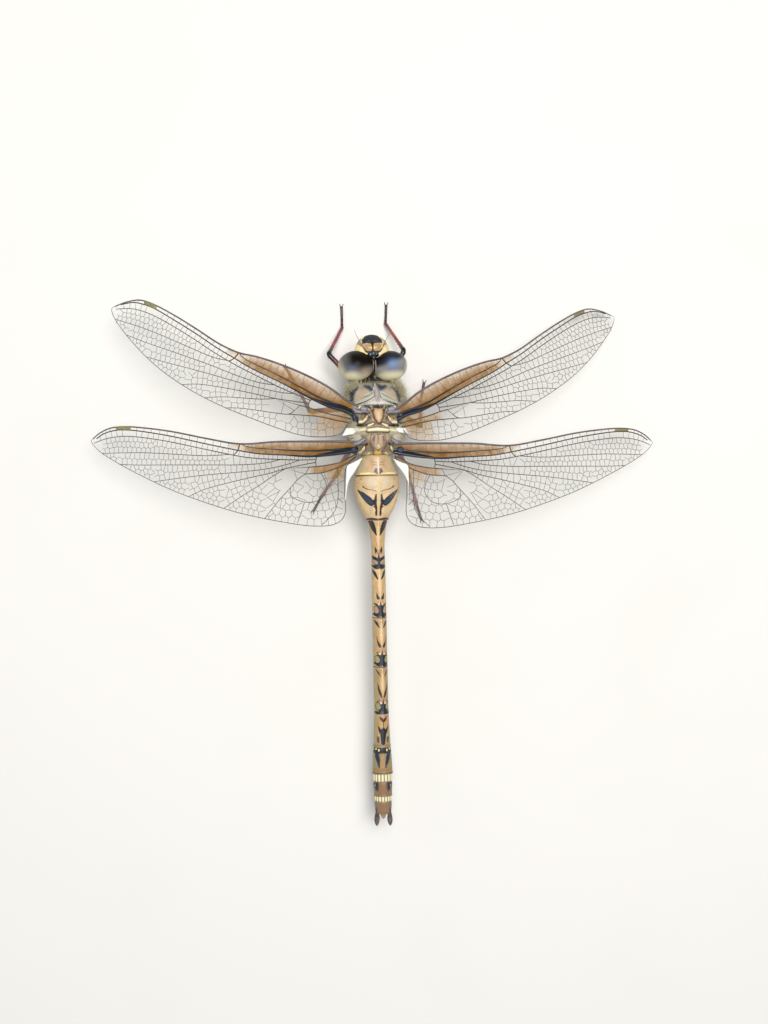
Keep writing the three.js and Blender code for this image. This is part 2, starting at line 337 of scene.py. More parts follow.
def makeStudio():
    world = bpy.data.worlds.new("paleRoom")
    bpy.context.scene.world = world
    world.use_nodes = True
    world.node_tree.nodes["Background"].inputs["Color"].default_value = colourOf("#eef1f5")
    world.node_tree.nodes["Background"].inputs["Strength"].default_value = 0.3
    bpy.context.scene.view_settings.view_transform = "Standard"
    for name in ("key", "fill"):
        lamp = bpy.data.lights.new(name, "AREA")
        lamp.energy = studio[name]["power"]
        lamp.size = studio[name]["size"] / 1000
        lampObject = bpy.data.objects.new(name, lamp)
        lampObject.location = toFrame @ Vector(studio[name]["place"])
        lampObject.rotation_euler = (-lampObject.location).to_track_quat("-Z", "Y").to_euler()
        bpy.context.scene.collection.objects.link(lampObject)
    camera = bpy.data.cameras.new("camera")
    camera.sensor_fit = "VERTICAL"
    camera.sensor_height = 36
    camera.lens = studio["lens"]
    camera.clip_start = 0.005
    cameraObject = bpy.data.objects.new("camera", camera)
    cameraObject.location = toFrame @ Vector(studio["eye"])
    cameraObject.rotation_euler = (0, 0, math.radians(studio["roll"]))
    bpy.context.scene.collection.objects.link(cameraObject)
    bpy.context.scene.camera = cameraObject
    # matt painted board: even and pale, a faint tooth
    paint, tree, shader = newMaterial("paintedBoardMatt", Roughness=0.9)
    shade = stain(tree, mottle(tree, 30), studio["floor"], "#dedbd4")
    tree.links.new(shade, shader.inputs["Base Color"])
    clear()
    bpy.ops.mesh.primitive_plane_add(size=4)
    floor = bpy.context.object
    floor.name = "floor"
    floor.data.materials.append(paint)


makeStudio()
print("studio ready")


ink, slate, darkBrown, umber = "#1f242c", "#36424f", "#452c22", "#322d28"


def longRing(wedge, arrow, arms, spotColour, spot, dot):
    # one of the four like rings behind the waist: wedges, a golden heart, an hourglass, two slanted ovals
    return {
        "glow": ("#e6c794", 0.4, [[(0, 1.0, 0.06), (0, 2.8, 0.3), (0, 3.9, 0.06)]]),
        "flank": ("#b98d60", 0.25, [[(0.55, 1.9, 0.05), (0.42, 3.0, 0.12), (0.2, 4.1, 0.06)]]),
        "line": ("#eed39a", 0.05, [[(0, 0.2, 0.05), (0, 2.2, 0.03)]]),
        "umber": (umber, 0.04, [wedge, arrow]),
        "blush": ("#b08a72", 0.08, [[(0.0, 4.3, 0.05), (0.5, 4.85, 0.12)]]),
        "ink": (ink, 0.04, [
            [(0, 4.6, 0.03), (0, 5.15, 0.12), (0, 5.6, 0.3), (0, 6.1, 0.26), (0, 6.7, 0.36)], arms,
            [(0.35, 5.7, 0.24), (0.45, 6.35, 0.3)], [(x, y, radius + 0.11) for x, y, radius in spot],
            [(0, 6.78, 0.27), (0.6, 6.72, 0.24), (1.2, 6.5, 0.18), (1.7, 6.5, 0.05)],
        ]),
        "slate": (slate, 0.08, [[(0, 5.3, 0.04), (0, 6.6, 0.08)]]), "spot": (spotColour, 0.05, [spot]),
        "dot": ("#e4cd9c", 0.04, [[(0.34, 5.16, dot)], [(0, 6.95, 0.07)]]),
        "rim": (umber, 0.03, [[(0, 7.06, 0.05), (3.4, 7.0, 0.05)]]),
    }


abdomen = {
    "sides": 28,
    "station": 0.3,  # spacing of the rows of vertices, mm
    "roll": 7.0,  # degrees that the front rings lean over with the thorax
    "twist": 16.0,  # degrees that the rings half way down are twisted the same way
    # relief of a ring: mm high, how wide (the keel and the hoop in mm, the others in radians round it),
    # and where: radians from the back's ridge, or the share of the ring's length
    "keel": (0.035, 0.09), "groove": (-0.12, 0.35), "edge": (0.05, 0.12, 2.45), "hoop": (0.022, 0.1, 0.33),
    "stations": [
        [-53, 0.85, 0.7, 7.75], [-52.0, 1.12, 0.88, 7.8], [-51.0, 1.24, 0.98, 7.8],
        [-49.0, 1.34, 1.13, 7.85], [-45.6, 1.47, 1.23, 7.95], [-42.2, 1.28, 1.2, 8.1],
        [-37.3, 1.08, 1.15, 8.35], [-30.5, 1.04, 1.15, 8.7], [-23.3, 1.04, 1.15, 9.1],
        [-16.2, 1.02, 1.15, 9.5], [-12.4, 0.98, 1.2, 9.75], [-9.9, 1.3, 1.5, 9.95],
        [-8.9, 1.65, 1.8, 10.05], [-7.3, 2.5, 2.35, 10.2], [-5.2, 3.15, 2.7, 10.35],
        [-2.75, 3.1, 2.75, 10.5], [-0.1, 2.2, 2.4, 10.65], [0.8, 1.9, 2.2, 10.65],
    ],
    # each ring: where it ends, its colours above, beside and below, and its marks as
    # name: (colour, soft edge in mm, brush strokes of [mm from the back's ridge, mm behind its front,
    # radius])
    "rings": [
        {
            "end": -2.75, "sides": 64, "shades": ("#c6a981", "#bcaa82", "#8f8874"),
            "marks": {
                "blush": ("#b98c63", 0.35, [[(0.9, 0.6, 0.2), (0.8, 1.4, 0.15)]]),
                "ridge": ("#e6c7a8", 0.05, [[(0, 0.1, 0.07), (0, 2.5, 0.07)]]),
                "band": ("#efdc98", 0.1, [[(0.5, 2.5, 0.1), (1.4, 2.42, 0.17), (2.7, 2.4, 0.12)]]),
                "bruise": ("#4a3a3b", 0.09, [
                    [(0.35, 1.75, 0.12), (0.4, 2.1, 0.22)], [(0.2, 2.35, 0.1), (0.2, 1.7, 0.05)],
                    [(0.25, 1.2, 0.05), (0.75, 1.1, 0.03)], [(0.25, 0.9, 0.04), (0.7, 0.72, 0.03)],
                ]),
                "rim": (ink, 0.04, [[(0, 2.72, 0.05), (0.6, 2.66, 0.1), (4.4, 2.66, 0.11)]]),
            },
        },
        {
            "end": -9.2, "sides": 64, "shades": ("#d6bb94", "#cfa970", "#9b9279"),
            "marks": {
                "haze": ("#cfc0a2", 0.4, [[(1.3, 0.8, 0.3), (0.9, 1.1, 0.3)]]),
                "blush": ("#b5885d", 0.2, [[(2.5, 0.45, 0.18), (2.9, 0.6, 0.1)]]),
                "gold": ("#dfc48b", 0.4, [[(2.9, 2.8, 0.3), (2.3, 4.2, 0.35), (1.5, 5.2, 0.2)]]),
                "peach": ("#e6c39a", 0.12, [
                    [(1.3, 2.6, 0.15), (0.75, 3.1, 0.2)], [(0.75, 4.25, 0.14), (0.6, 5.2, 0.2)],
                ]),
                "line": ("#d6bd87", 0.08, [[(0, 0.7, 0.08), (0, 2.2, 0.16), (0, 6.3, 0.12)]]),
                "crease": (darkBrown, 0.06, [
                    [(2.3, 1.62, 0.08), (1.6, 1.95, 0.06), (0.8, 2.12, 0.05), (0.3, 2.3, 0.05)],
                    [(2.2, 1.6, 0.14)], [(0.8, 4.5, 0.05), (0.35, 4.45, 0.1)],
                    [
                        (0.36, 2.75, 0.1), (0.42, 3.3, 0.17), (0.48, 3.9, 0.2), (0.38, 4.5, 0.2),
                        (0.28, 4.95, 0.12), (0.32, 5.3, 0.17), (0.3, 5.65, 0.14),
                    ],
                ]),
                "ink": (ink, 0.04, [
                    [(3.3, 2.05, 0.1), (2.3, 2.75, 0.38), (1.4, 3.55, 0.5), (1.0, 3.95, 0.42)],
                    [(1.0, 3.8, 0.24), (0.4, 3.6, 0.16)],
                ]),
                "slate": (slate, 0.06, [[
                    (2.8, 2.45, 0.04), (2.15, 2.88, 0.25), (1.4, 3.6, 0.36), (1.05, 3.9, 0.28),
                ]]),
                "rim": (darkBrown, 0.08, [[(0.14, 6.3, 0.14), (1.0, 6.2, 0.18), (3.4, 6.3, 0.1)]]),
            },
        },
        {
            "end": -16.2, "shades": ("#cdab7d", "#bfa470", "#98907a"),
            "marks": longRing(
                [(1.6, 0.0, 0.42), (1.05, 0.6, 0.5), (0.66, 1.3, 0.36), (0.26, 2.15, 0.05)],
                [(0.6, 3.75, 0.04), (0.46, 4.25, 0.2), (0.36, 4.55, 0.26)],
                [(0.1, 5.8, 0.2), (0.55, 5.5, 0.24), (1.15, 5.25, 0.22)], "#a58d72",
                [(0.88, 5.84, 0.24), (0.46, 6.08, 0.27)], 0.05,
            ),
        },
        {
            "end": -23.35, "shades": ("#d3b182", "#b9a674", "#979079"),
            "marks": longRing(
                [(1.25, 0.15, 0.18), (0.8, 0.6, 0.27), (0.32, 1.4, 0.12)],
                [(0.58, 3.4, 0.03), (0.47, 3.95, 0.18), (0.34, 4.2, 0.24)],
                [(0.1, 5.5, 0.16), (0.5, 5.2, 0.13), (1.1, 4.98, 0.1)], "#ae8a70",
                [(0.82, 5.7, 0.33), (0.7, 6.05, 0.36)], 0.09,
            ),
        },
        {
            "end": -30.5, "shades": ("#bb996f", "#b0a06d", "#969078"),
            "marks": longRing(
                [(1.2, 0.2, 0.06), (0.75, 0.7, 0.22), (0.32, 1.3, 0.07)],
                [(0.8, 2.6, 0.03), (0.68, 3.3, 0.1), (0.42, 3.85, 0.2), (0.3, 4.05, 0.2)],
                [(0.1, 5.45, 0.12), (0.62, 5.35, 0.08), (0.85, 5.0, 0.06), (0.5, 4.8, 0.04)], "#9c9264",
                [(0.86, 5.82, 0.38), (0.78, 6.05, 0.4)], 0.13,
            ),
        },
        {
            "end": -37.3, "shades": ("#a98a62", "#a69b6b", "#949077"),
            "marks": longRing(
                [(1.1, 0.25, 0.04), (0.66, 0.75, 0.12), (0.3, 1.25, 0.05)],
                [(0.8, 2.2, 0.03), (0.64, 3.1, 0.14), (0.42, 3.75, 0.2), (0.16, 4.4, 0.08)],
                [(0.1, 5.45, 0.12), (0.7, 5.4, 0.07), (0.9, 4.95, 0.05), (0.5, 4.7, 0.05)], "#9b9169",
                [(0.86, 5.5, 0.38), (0.8, 5.74, 0.4)], 0.16,
            ),
        },
        {
            "end": -42.2, "shades": ("#b39368", "#a39a70", "#8f8b74"),
            "marks": {
                "gold": ("#c0965a", 0.12, [[(0.38, 0.9, 0.25), (0.36, 1.75, 0.25)]]),
                "dusk": ("#8b7c62", 0.3, [[(0.85, 3.3, 0.25), (0.8, 3.9, 0.2)]]),
                "tail": ("#8b7757", 0.2, [[(0, 4.6, 0.2), (2.4, 4.6, 0.2)]]),
                "wine": ("#43201a", 0.07, [[(0.5, 0.45, 0.1), (0.28, 0.75, 0.2), (0, 1.0, 0.2)]]),
                "blotch": ("#4c4438", 0.12, [[(0.78, 3.5, 0.2), (0.74, 4.1, 0.12)]]),
                "ink": (ink, 0.05, [
                    [
                        (0, 1.0, 0.04), (0, 2.0, 0.06), (0, 2.45, 0.42), (0, 2.9, 0.45), (0, 3.5, 0.38),
                        (0, 4.2, 0.3),
                    ],
                    [(0.78, 1.7, 0.05), (0.6, 2.2, 0.17), (0.4, 2.6, 0.22)],
                ]),
                "dot": ("#b9ab8a", 0.06, [[(0.7, 3.1, 0.14)]]),
            },
        },
        {
            "end": -46.15, "shades": ("#93855e", "#938a68", "#7f7a66"),
            "marks": {
                "collar": (ink, 0.06, [[(0, 0.3, 0.55), (3.2, 0.3, 0.5)]]),
                "night": ("#2a3240", 0.12, [[
                    (0.98, 0.8, 0.34), (0.78, 1.5, 0.36), (0.55, 2.3, 0.2), (0.45, 2.9, 0.08),
                ]]),
                "lozenge": ("#ac8555", 0.08, [[
                    (0, 0.85, 0.06), (0, 1.5, 0.26), (0, 2.4, 0.36), (0, 2.8, 0.3),
                ]]),
                "tail": ("#96784d", 0.15, [[(0, 3.3, 0.3), (3.2, 3.3, 0.3)]]),
                "dot": ("#efe08c", 0.04, [
                    [(0.6, 0.28, 0.13), (0.6, 0.45, 0.1)], [(1.1, 0.2, 0.14)], [(1.75, 0.25, 0.13)],
                ]),
                "rim": ("#4a3a26", 0.04, [[(0, 3.74, 0.06), (3.4, 3.74, 0.06)]]),
            },
        },
        {
            "end": -49.4, "drawn": 1.15, "shades": ("#856a4f", "#8a7c60", "#7d7864"),
            "marks": {
                "night": ("#2b303b", 0.25, [[(0.95, 0.3, 0.4), (0.9, 0.9, 0.3)], [(1.7, 0.3, 0.3)]]),
                "amber": ("#8d6a48", 0.25, [[(0, 0.2, 0.25), (0.1, 1.2, 0.35)]]),
                "dot": ("#c9bd94", 0.06, [[(1.2, 0.45, 0.1)]]),
                "rim": ("#5b4128", 0.05, [[(0, 2.18, 0.06), (3.2, 2.18, 0.06)]]),
            },
        },
        {
            "end": -52.1, "drawn": 0.75, "shades": ("#867055", "#83745c", "#7a7363"),
            "marks": {
                "amber": ("#8b6a48", 0.3, [[(0, 0.4, 0.3), (0, 1.1, 0.3)]]),
                "dusk": ("#77675a", 0.2, [[(1.15, 0.3, 0.2), (1.2, 1.2, 0.15)]]),
                "rim": ("#b08d5c", 0.08, [[(0, 1.85, 0.06), (0.9, 1.85, 0.06)]]),
            },
        },
    ],
    # folded skin that shows where the last rings are drawn apart: front, rear
    "pleats": [
        (-46.05, -47.2), (-49.3, -50.15),
    ],
}


def shellMaterial(name, shades, marks):
    # insect cuticle, hardened and waxed: a soft satin shine over pigment, finely pitted
    cuticle, tree, shader = newMaterial(name, Roughness=0.42, IOR=1.54, Specular_IOR_Level=0.42)
    top, side, belly = shades
    around = addNode(tree, "Attribute", attribute_name="around").outputs["Fac"]
    toSide = addNode(tree, "MapRange", {"Value": around, 1: 0.25, 2: 0.95}, interpolation_type="SMOOTHSTEP")
    toBelly = addNode(tree, "MapRange", {"Value": around, 1: 1.1, 2: 1.7}, interpolation_type="SMOOTHSTEP")
    colour = stain(tree, toSide.outputs[0], top, side)
    colour = stain(tree, toBelly.outputs[0], colour, belly)
    colour = clouds(tree, colour, "#8a6a44", 0.9, -0.1, 0.22, 0.28, 4)
    colour = layMarks(tree, colour, marks, 0.05, 0.3)
    colour = clouds(tree, colour, "#3a2a20", 0.16, 0.08, 0.2, 0.16)  # freckles
    tree.links.new(colour, shader.inputs["Base Color"])
    roughen(tree, shader, 0.12, 0.04, 0.5, 3)
    return cuticle


bodySize = through(abdomen["stations"])
denseY = np.linspace(-53, 0.8, 600)
denseSize = np.array([bodySize(y) for y in denseY])


def sizeAlong(y):
    return [np.interp(y, denseY, denseSize[:, k]) for k in range(3)]


def leanAt(y):
    # the front of the abdomen leans over with the thorax, and half way down it is twisted a little
    twist = abdomen["twist"] * ease(-y, 5, 28) * (1 - ease(-y, 37, 47))
    return np.radians(abdomen["roll"] * ease(y, -14, -4) + twist)


def makeRing(number, start, ring):
    end = ring["end"]
    length = start - end
    inner = [(start + 0.4, 0.8), (start + 0.1, 0.86), (start - 0.04, 0.95), (start - 0.2, 0.995)]
    middle = [(y, 1.0) for y in np.linspace(start - 0.45, end + 0.4, round(length / abdomen["station"]))]
    rim = [(end + 0.2, 1.02), (end + 0.06, 1.045), (end, 1.03), (end + 0.02, 0.93), (end + 0.2, 0.85)]
    if number == 1:
        inner = [(start + 0.75, 0.86), (start + 0.3, 0.94), (start, 1.0)]
    if number == 10:
        rim = [(end + 0.3, 0.98), (end + 0.12, 0.9), (end, 0.7), (end + 0.02, 0.4)]
    rings = []
    for y, grow in (*inner, *middle, *rim):
        wide, high, middleZ = bodySize(clamp(y, -53, 0.8))
        rings.append(((0, y, middleZ), wide * grow, high * grow))
    name = f"abdomen_ring_{number}"
    piece = smoother(loft(name, rings, ring.get("sides", abdomen["sides"])), 2)
    # the back has a fine keel, the belly a flat groove, and the skin drapes a little between
    points = coords(piece)
    wide, high, middleZ = sizeAlong(points[:, 1])
    angle = np.arctan2(points[:, 0] / wide, (points[:, 2] - middleZ) / high)
    radius = (wide + high) / 2
    tall, broad = abdomen["keel"]
    keel = tall * np.exp(-(angle * radius / broad) ** 2) * ease(points[:, 1], -50.5, -47) * (number > 1)
    tall, broad = abdomen["groove"]
    groove = tall * np.exp(-((np.abs(angle) - math.pi) / broad) ** 2)
    tall, broad, at = abdomen["edge"]
    edge = tall * np.exp(-((np.abs(angle) - at) / broad) ** 2)
    hoop = 0
    if 2 <= number <= 8:
        # a raised hoop crosses each ring a third of the way down it
        tall, broad, at = abdomen["hoop"]
        where = start - length * at - 0.25 * np.cos(angle)
        hoop = tall * np.exp(-((points[:, 1] - where) / broad) ** 2) * (np.abs(angle) < 2.4)
    swell = 1 + (keel + groove + edge + hoop) / np.maximum(radius, 0.3)
    points[:, 0] *= swell
    points[:, 2] = middleZ + (points[:, 2] - middleZ) * swell
    mould(piece, points)
    keepNumbers(piece, "around", np.abs(angle) / (math.pi / 2))
    for mark, (_, _, strokes) in ring["marks"].items():
        keepNumbers(piece, mark, outside(np.abs(angle) * radius, start - points[:, 1], strokes))
    rollOver(points, middleZ, leanAt(points[:, 1]))
    mould(piece, points)
    cuticle = shellMaterial(f"cuticleRing{number}", ring["shades"], ring["marks"])
    settle(piece, cuticle, [f"abdomen_{number}"])


def makePleats(number, front, rear):
    # soft joint skin gathered in lengthwise folds between two rings
    folds = 16
    size = bodySize((front + rear) / 2)
    rows = [
        (front + 0.15, 0.86), (front - 0.1, 0.94), ((front + rear) / 2, 0.92), (rear + 0.1, 0.94),
        (rear - 0.15, 0.84)
    ]
    rings = [((0, y, size[2]), size[0] * grow, size[1] * grow) for y, grow in rows]
    piece = loft(f"abdomen_pleats_{number}", rings, folds * 4)
    piece = smoother(piece)
    points = coords(piece)
    angle = np.arctan2(points[:, 0] / size[0], (points[:, 2] - size[2]) / size[1])
    fold = np.cos(angle * folds)
    points[:, 0] *= 1 + 0.04 * fold
    points[:, 2] = size[2] + (points[:, 2] - size[2]) * (1 + 0.04 * fold)
    mould(piece, points)
    keepNumbers(piece, "fold", fold)
    # joint membrane, soft and unpigmented: cream folds with painted shade, grey-brown, in the valleys, a
    # waxy sheen
    skin, tree, shader = newMaterial(f"jointMembrane{number}", Roughness=0.5, IOR=1.45)
    crest = addNode(tree, "Attribute", attribute_name="fold").outputs["Fac"]
    share = addNode(tree, "MapRange", {"Value": crest, 1: -0.75, 2: 0.2})
    tree.links.new(stain(tree, share.outputs[0], "#9a8b60", "#ebe2be"), shader.inputs["Base Color"])
    settle(piece, skin)


start = -0.1
for number, ring in enumerate(abdomen["rings"], 1):
    makeRing(number, start - ring.get("drawn", 0), ring)
    start = ring["end"]
for number, (front, rear) in enumerate(abdomen["pleats"], 1):
    makePleats(number, front, rear)
print("abdomen ready")


# Places on a wing are [share of the span, mm ahead of the root], as on the solids it covers.
foreWing = {
    "span": 38.5, "root": (3.1, 13.35),
    "front": [
        (-0.01, 0.55), (0.04, 0.6), (0.1, 1.05), (0.16, 1.25), (0.24, 1.25), (0.33, 1.0), (0.41, 0.55),
        (0.478, -0.05), (0.56, -0.1), (0.66, 0.38), (0.76, 0.78), (0.85, 0.92), (0.91, 0.6), (0.955, -0.55),
        (0.985, -1.8),
    ],
    "rear": [
        (-0.01, -2.6), (0.0, -4.2), (0.05, -5.6), (0.13, -6.8), (0.23, -7.4), (0.33, -7.75), (0.42, -8.0),
        (0.51, -8.05), (0.6, -7.85), (0.7, -7.3), (0.79, -6.4), (0.87, -5.25), (0.93, -4.2), (0.97, -3.3),
        (0.99, -2.6),
    ],
    "nodus": 0.476, "webTo": 0.165,
    "innerEdge": -4,  # mm ahead of the root, where the rear edge begins
    "stigma": (0.838, 0.888),
    # the long veins, from root to edge, by the names wing books give them
    "veins": {
        "Sc": [
            (-0.01, -0.45), (0.03, -0.45), (0.08, -0.7), (0.14, -0.82), (0.2, -0.7), (0.27, -0.58),
            (0.33, -0.52), (0.4, -0.56), (0.45, -0.46), (0.476, -0.1),
        ],
        "R": [
            (-0.01, -0.95), (0.03, -0.98), (0.08, -1.35), (0.14, -1.45), (0.2, -1.4), (0.28, -1.32),
            (0.37, -1.33), (0.43, -1.28), (0.478, -1.08), (0.56, -0.82), (0.66, -0.28), (0.76, 0.12),
            (0.838, 0.36), (0.89, 0.22), (0.93, -0.2), (0.968, -1.25),
        ],
        "RP1": [
            (0.155, -1.75), (0.2, -1.85), (0.25, -1.95), (0.3, -2.0), (0.38, -1.95), (0.43, -1.92),
            (0.478, -1.85), (0.56, -1.6), (0.66, -1.1), (0.76, -0.72), (0.85, -0.62), (0.92, -1.05),
            (0.978, -2.15),
        ],
        "RP2": [(0.5, -1.8), (0.56, -2.3), (0.66, -2.5), (0.76, -2.65), (0.86, -2.95), (0.962, -3.5)],
        "IR2": [
            (0.3, -2.0), (0.36, -2.7), (0.44, -3.15), (0.56, -3.5), (0.68, -4.0), (0.8, -4.55),
            (0.895, -4.85),
        ],
        "RP3": [
            (0.22, -1.88), (0.26, -2.5), (0.32, -3.1), (0.4, -3.75), (0.5, -4.4), (0.6, -5.1), (0.7, -5.85),
            (0.785, -6.45),
        ],
        "MA": [
            (0.155, -2.2), (0.18, -2.55), (0.22, -3.05), (0.275, -3.7), (0.32, -4.1), (0.4, -4.85),
            (0.48, -5.7), (0.56, -6.7), (0.615, -7.8),
        ],
        "MP": [(0.275, -3.7), (0.32, -4.65), (0.38, -5.6), (0.45, -6.7), (0.515, -8.05)],
        "Cu": [(-0.01, -1.6), (0.03, -1.95), (0.06, -2.25), (0.11, -2.6), (0.15, -2.8), (0.18, -3.05)],
        "CuA": [(0.19, -4.05), (0.205, -4.9), (0.25, -5.55), (0.32, -6.4), (0.38, -7.2), (0.425, -8.0)],
        "A": [(-0.01, -2.2), (0.03, -2.65), (0.07, -3.0), (0.11, -3.45), (0.15, -4.05), (0.205, -4.9)],
    },
    "triangle": [(0.18, -3.05), (0.275, -3.7), (0.19, -4.05), (0.18, -3.05)],
    "arculus": [(0.15, -1.45), (0.155, -2.0), (0.15, -2.8)],
    # fields between two long veins, filled with cells: front, rear, from, to, cell size, rows
    # (0 = as many as fit)
    "fields": [
        ("C", "Sc", 0.02, 0.476, 1.05, 1), ("Sc", "R", 0.17, 0.476, 0.95, 1),
        ("C", "R", 0.49, 0.83, 1.15, 1), ("C", "R", 0.9, 0.96, 0.8, 0), ("R", "RP1", 0.17, 0.83, 0.9, 0),
        ("R", "RP1", 0.85, 0.968, 0.8, 0), ("RP1", "RP3", 0.235, 0.3, 0.8, 0),
        ("RP1", "IR2", 0.315, 0.5, 0.85, 0), ("RP1", "RP2", 0.52, 0.962, 0.8, 0),
        ("RP2", "IR2", 0.5, 0.895, 0.85, 0), ("RP2", "rear", 0.895, 0.962, 0.8, 0),
        ("IR2", "RP3", 0.31, 0.785, 0.85, 0), ("IR2", "rear", 0.785, 0.895, 0.85, 0),
        ("RP1", "MA", 0.165, 0.22, 0.9, 1), ("RP3", "MA", 0.235, 0.615, 0.85, 0),
        ("RP3", "rear", 0.615, 0.785, 0.85, 0), ("MA", "MP", 0.3, 0.515, 0.85, 0),
        ("MA", "rear", 0.515, 0.615, 0.85, 0), ("MP", "CuA", 0.285, 0.425, 0.95, 0),
        ("MP", "rear", 0.425, 0.515, 0.9, 0), ("CuA", "rear", 0.21, 0.425, 1.0, 0),
        ("Cu", "A", 0.04, 0.18, 1.6, 1), ("A", "rear", 0.0, 0.205, 1.1, 0),
        ("MA", "T", 0.19, 0.265, 1.2, 1), ("T", "CuA", 0.205, 0.27, 1.1, 1),
    ],
    # honey-tinted cells: front, rear, from, to, strength at the front, at the rear
    "honey": [
        ("C", "Sc", 0.005, 0.476, 0.36, 1.0), ("Sc", "R", 0.05, 0.49, 0.9, 0.8),
        ("Cu", "A", 0.0, 0.15, 0.45, 0.7), ("C", "R", 0.476, 0.52, 0.6, 0.12),
        ("A", "rear", 0.0, 0.1, 0.5, 0.15), ("R", "Cu", 0.0, 0.1, 0.3, 0.3),
    ],
}
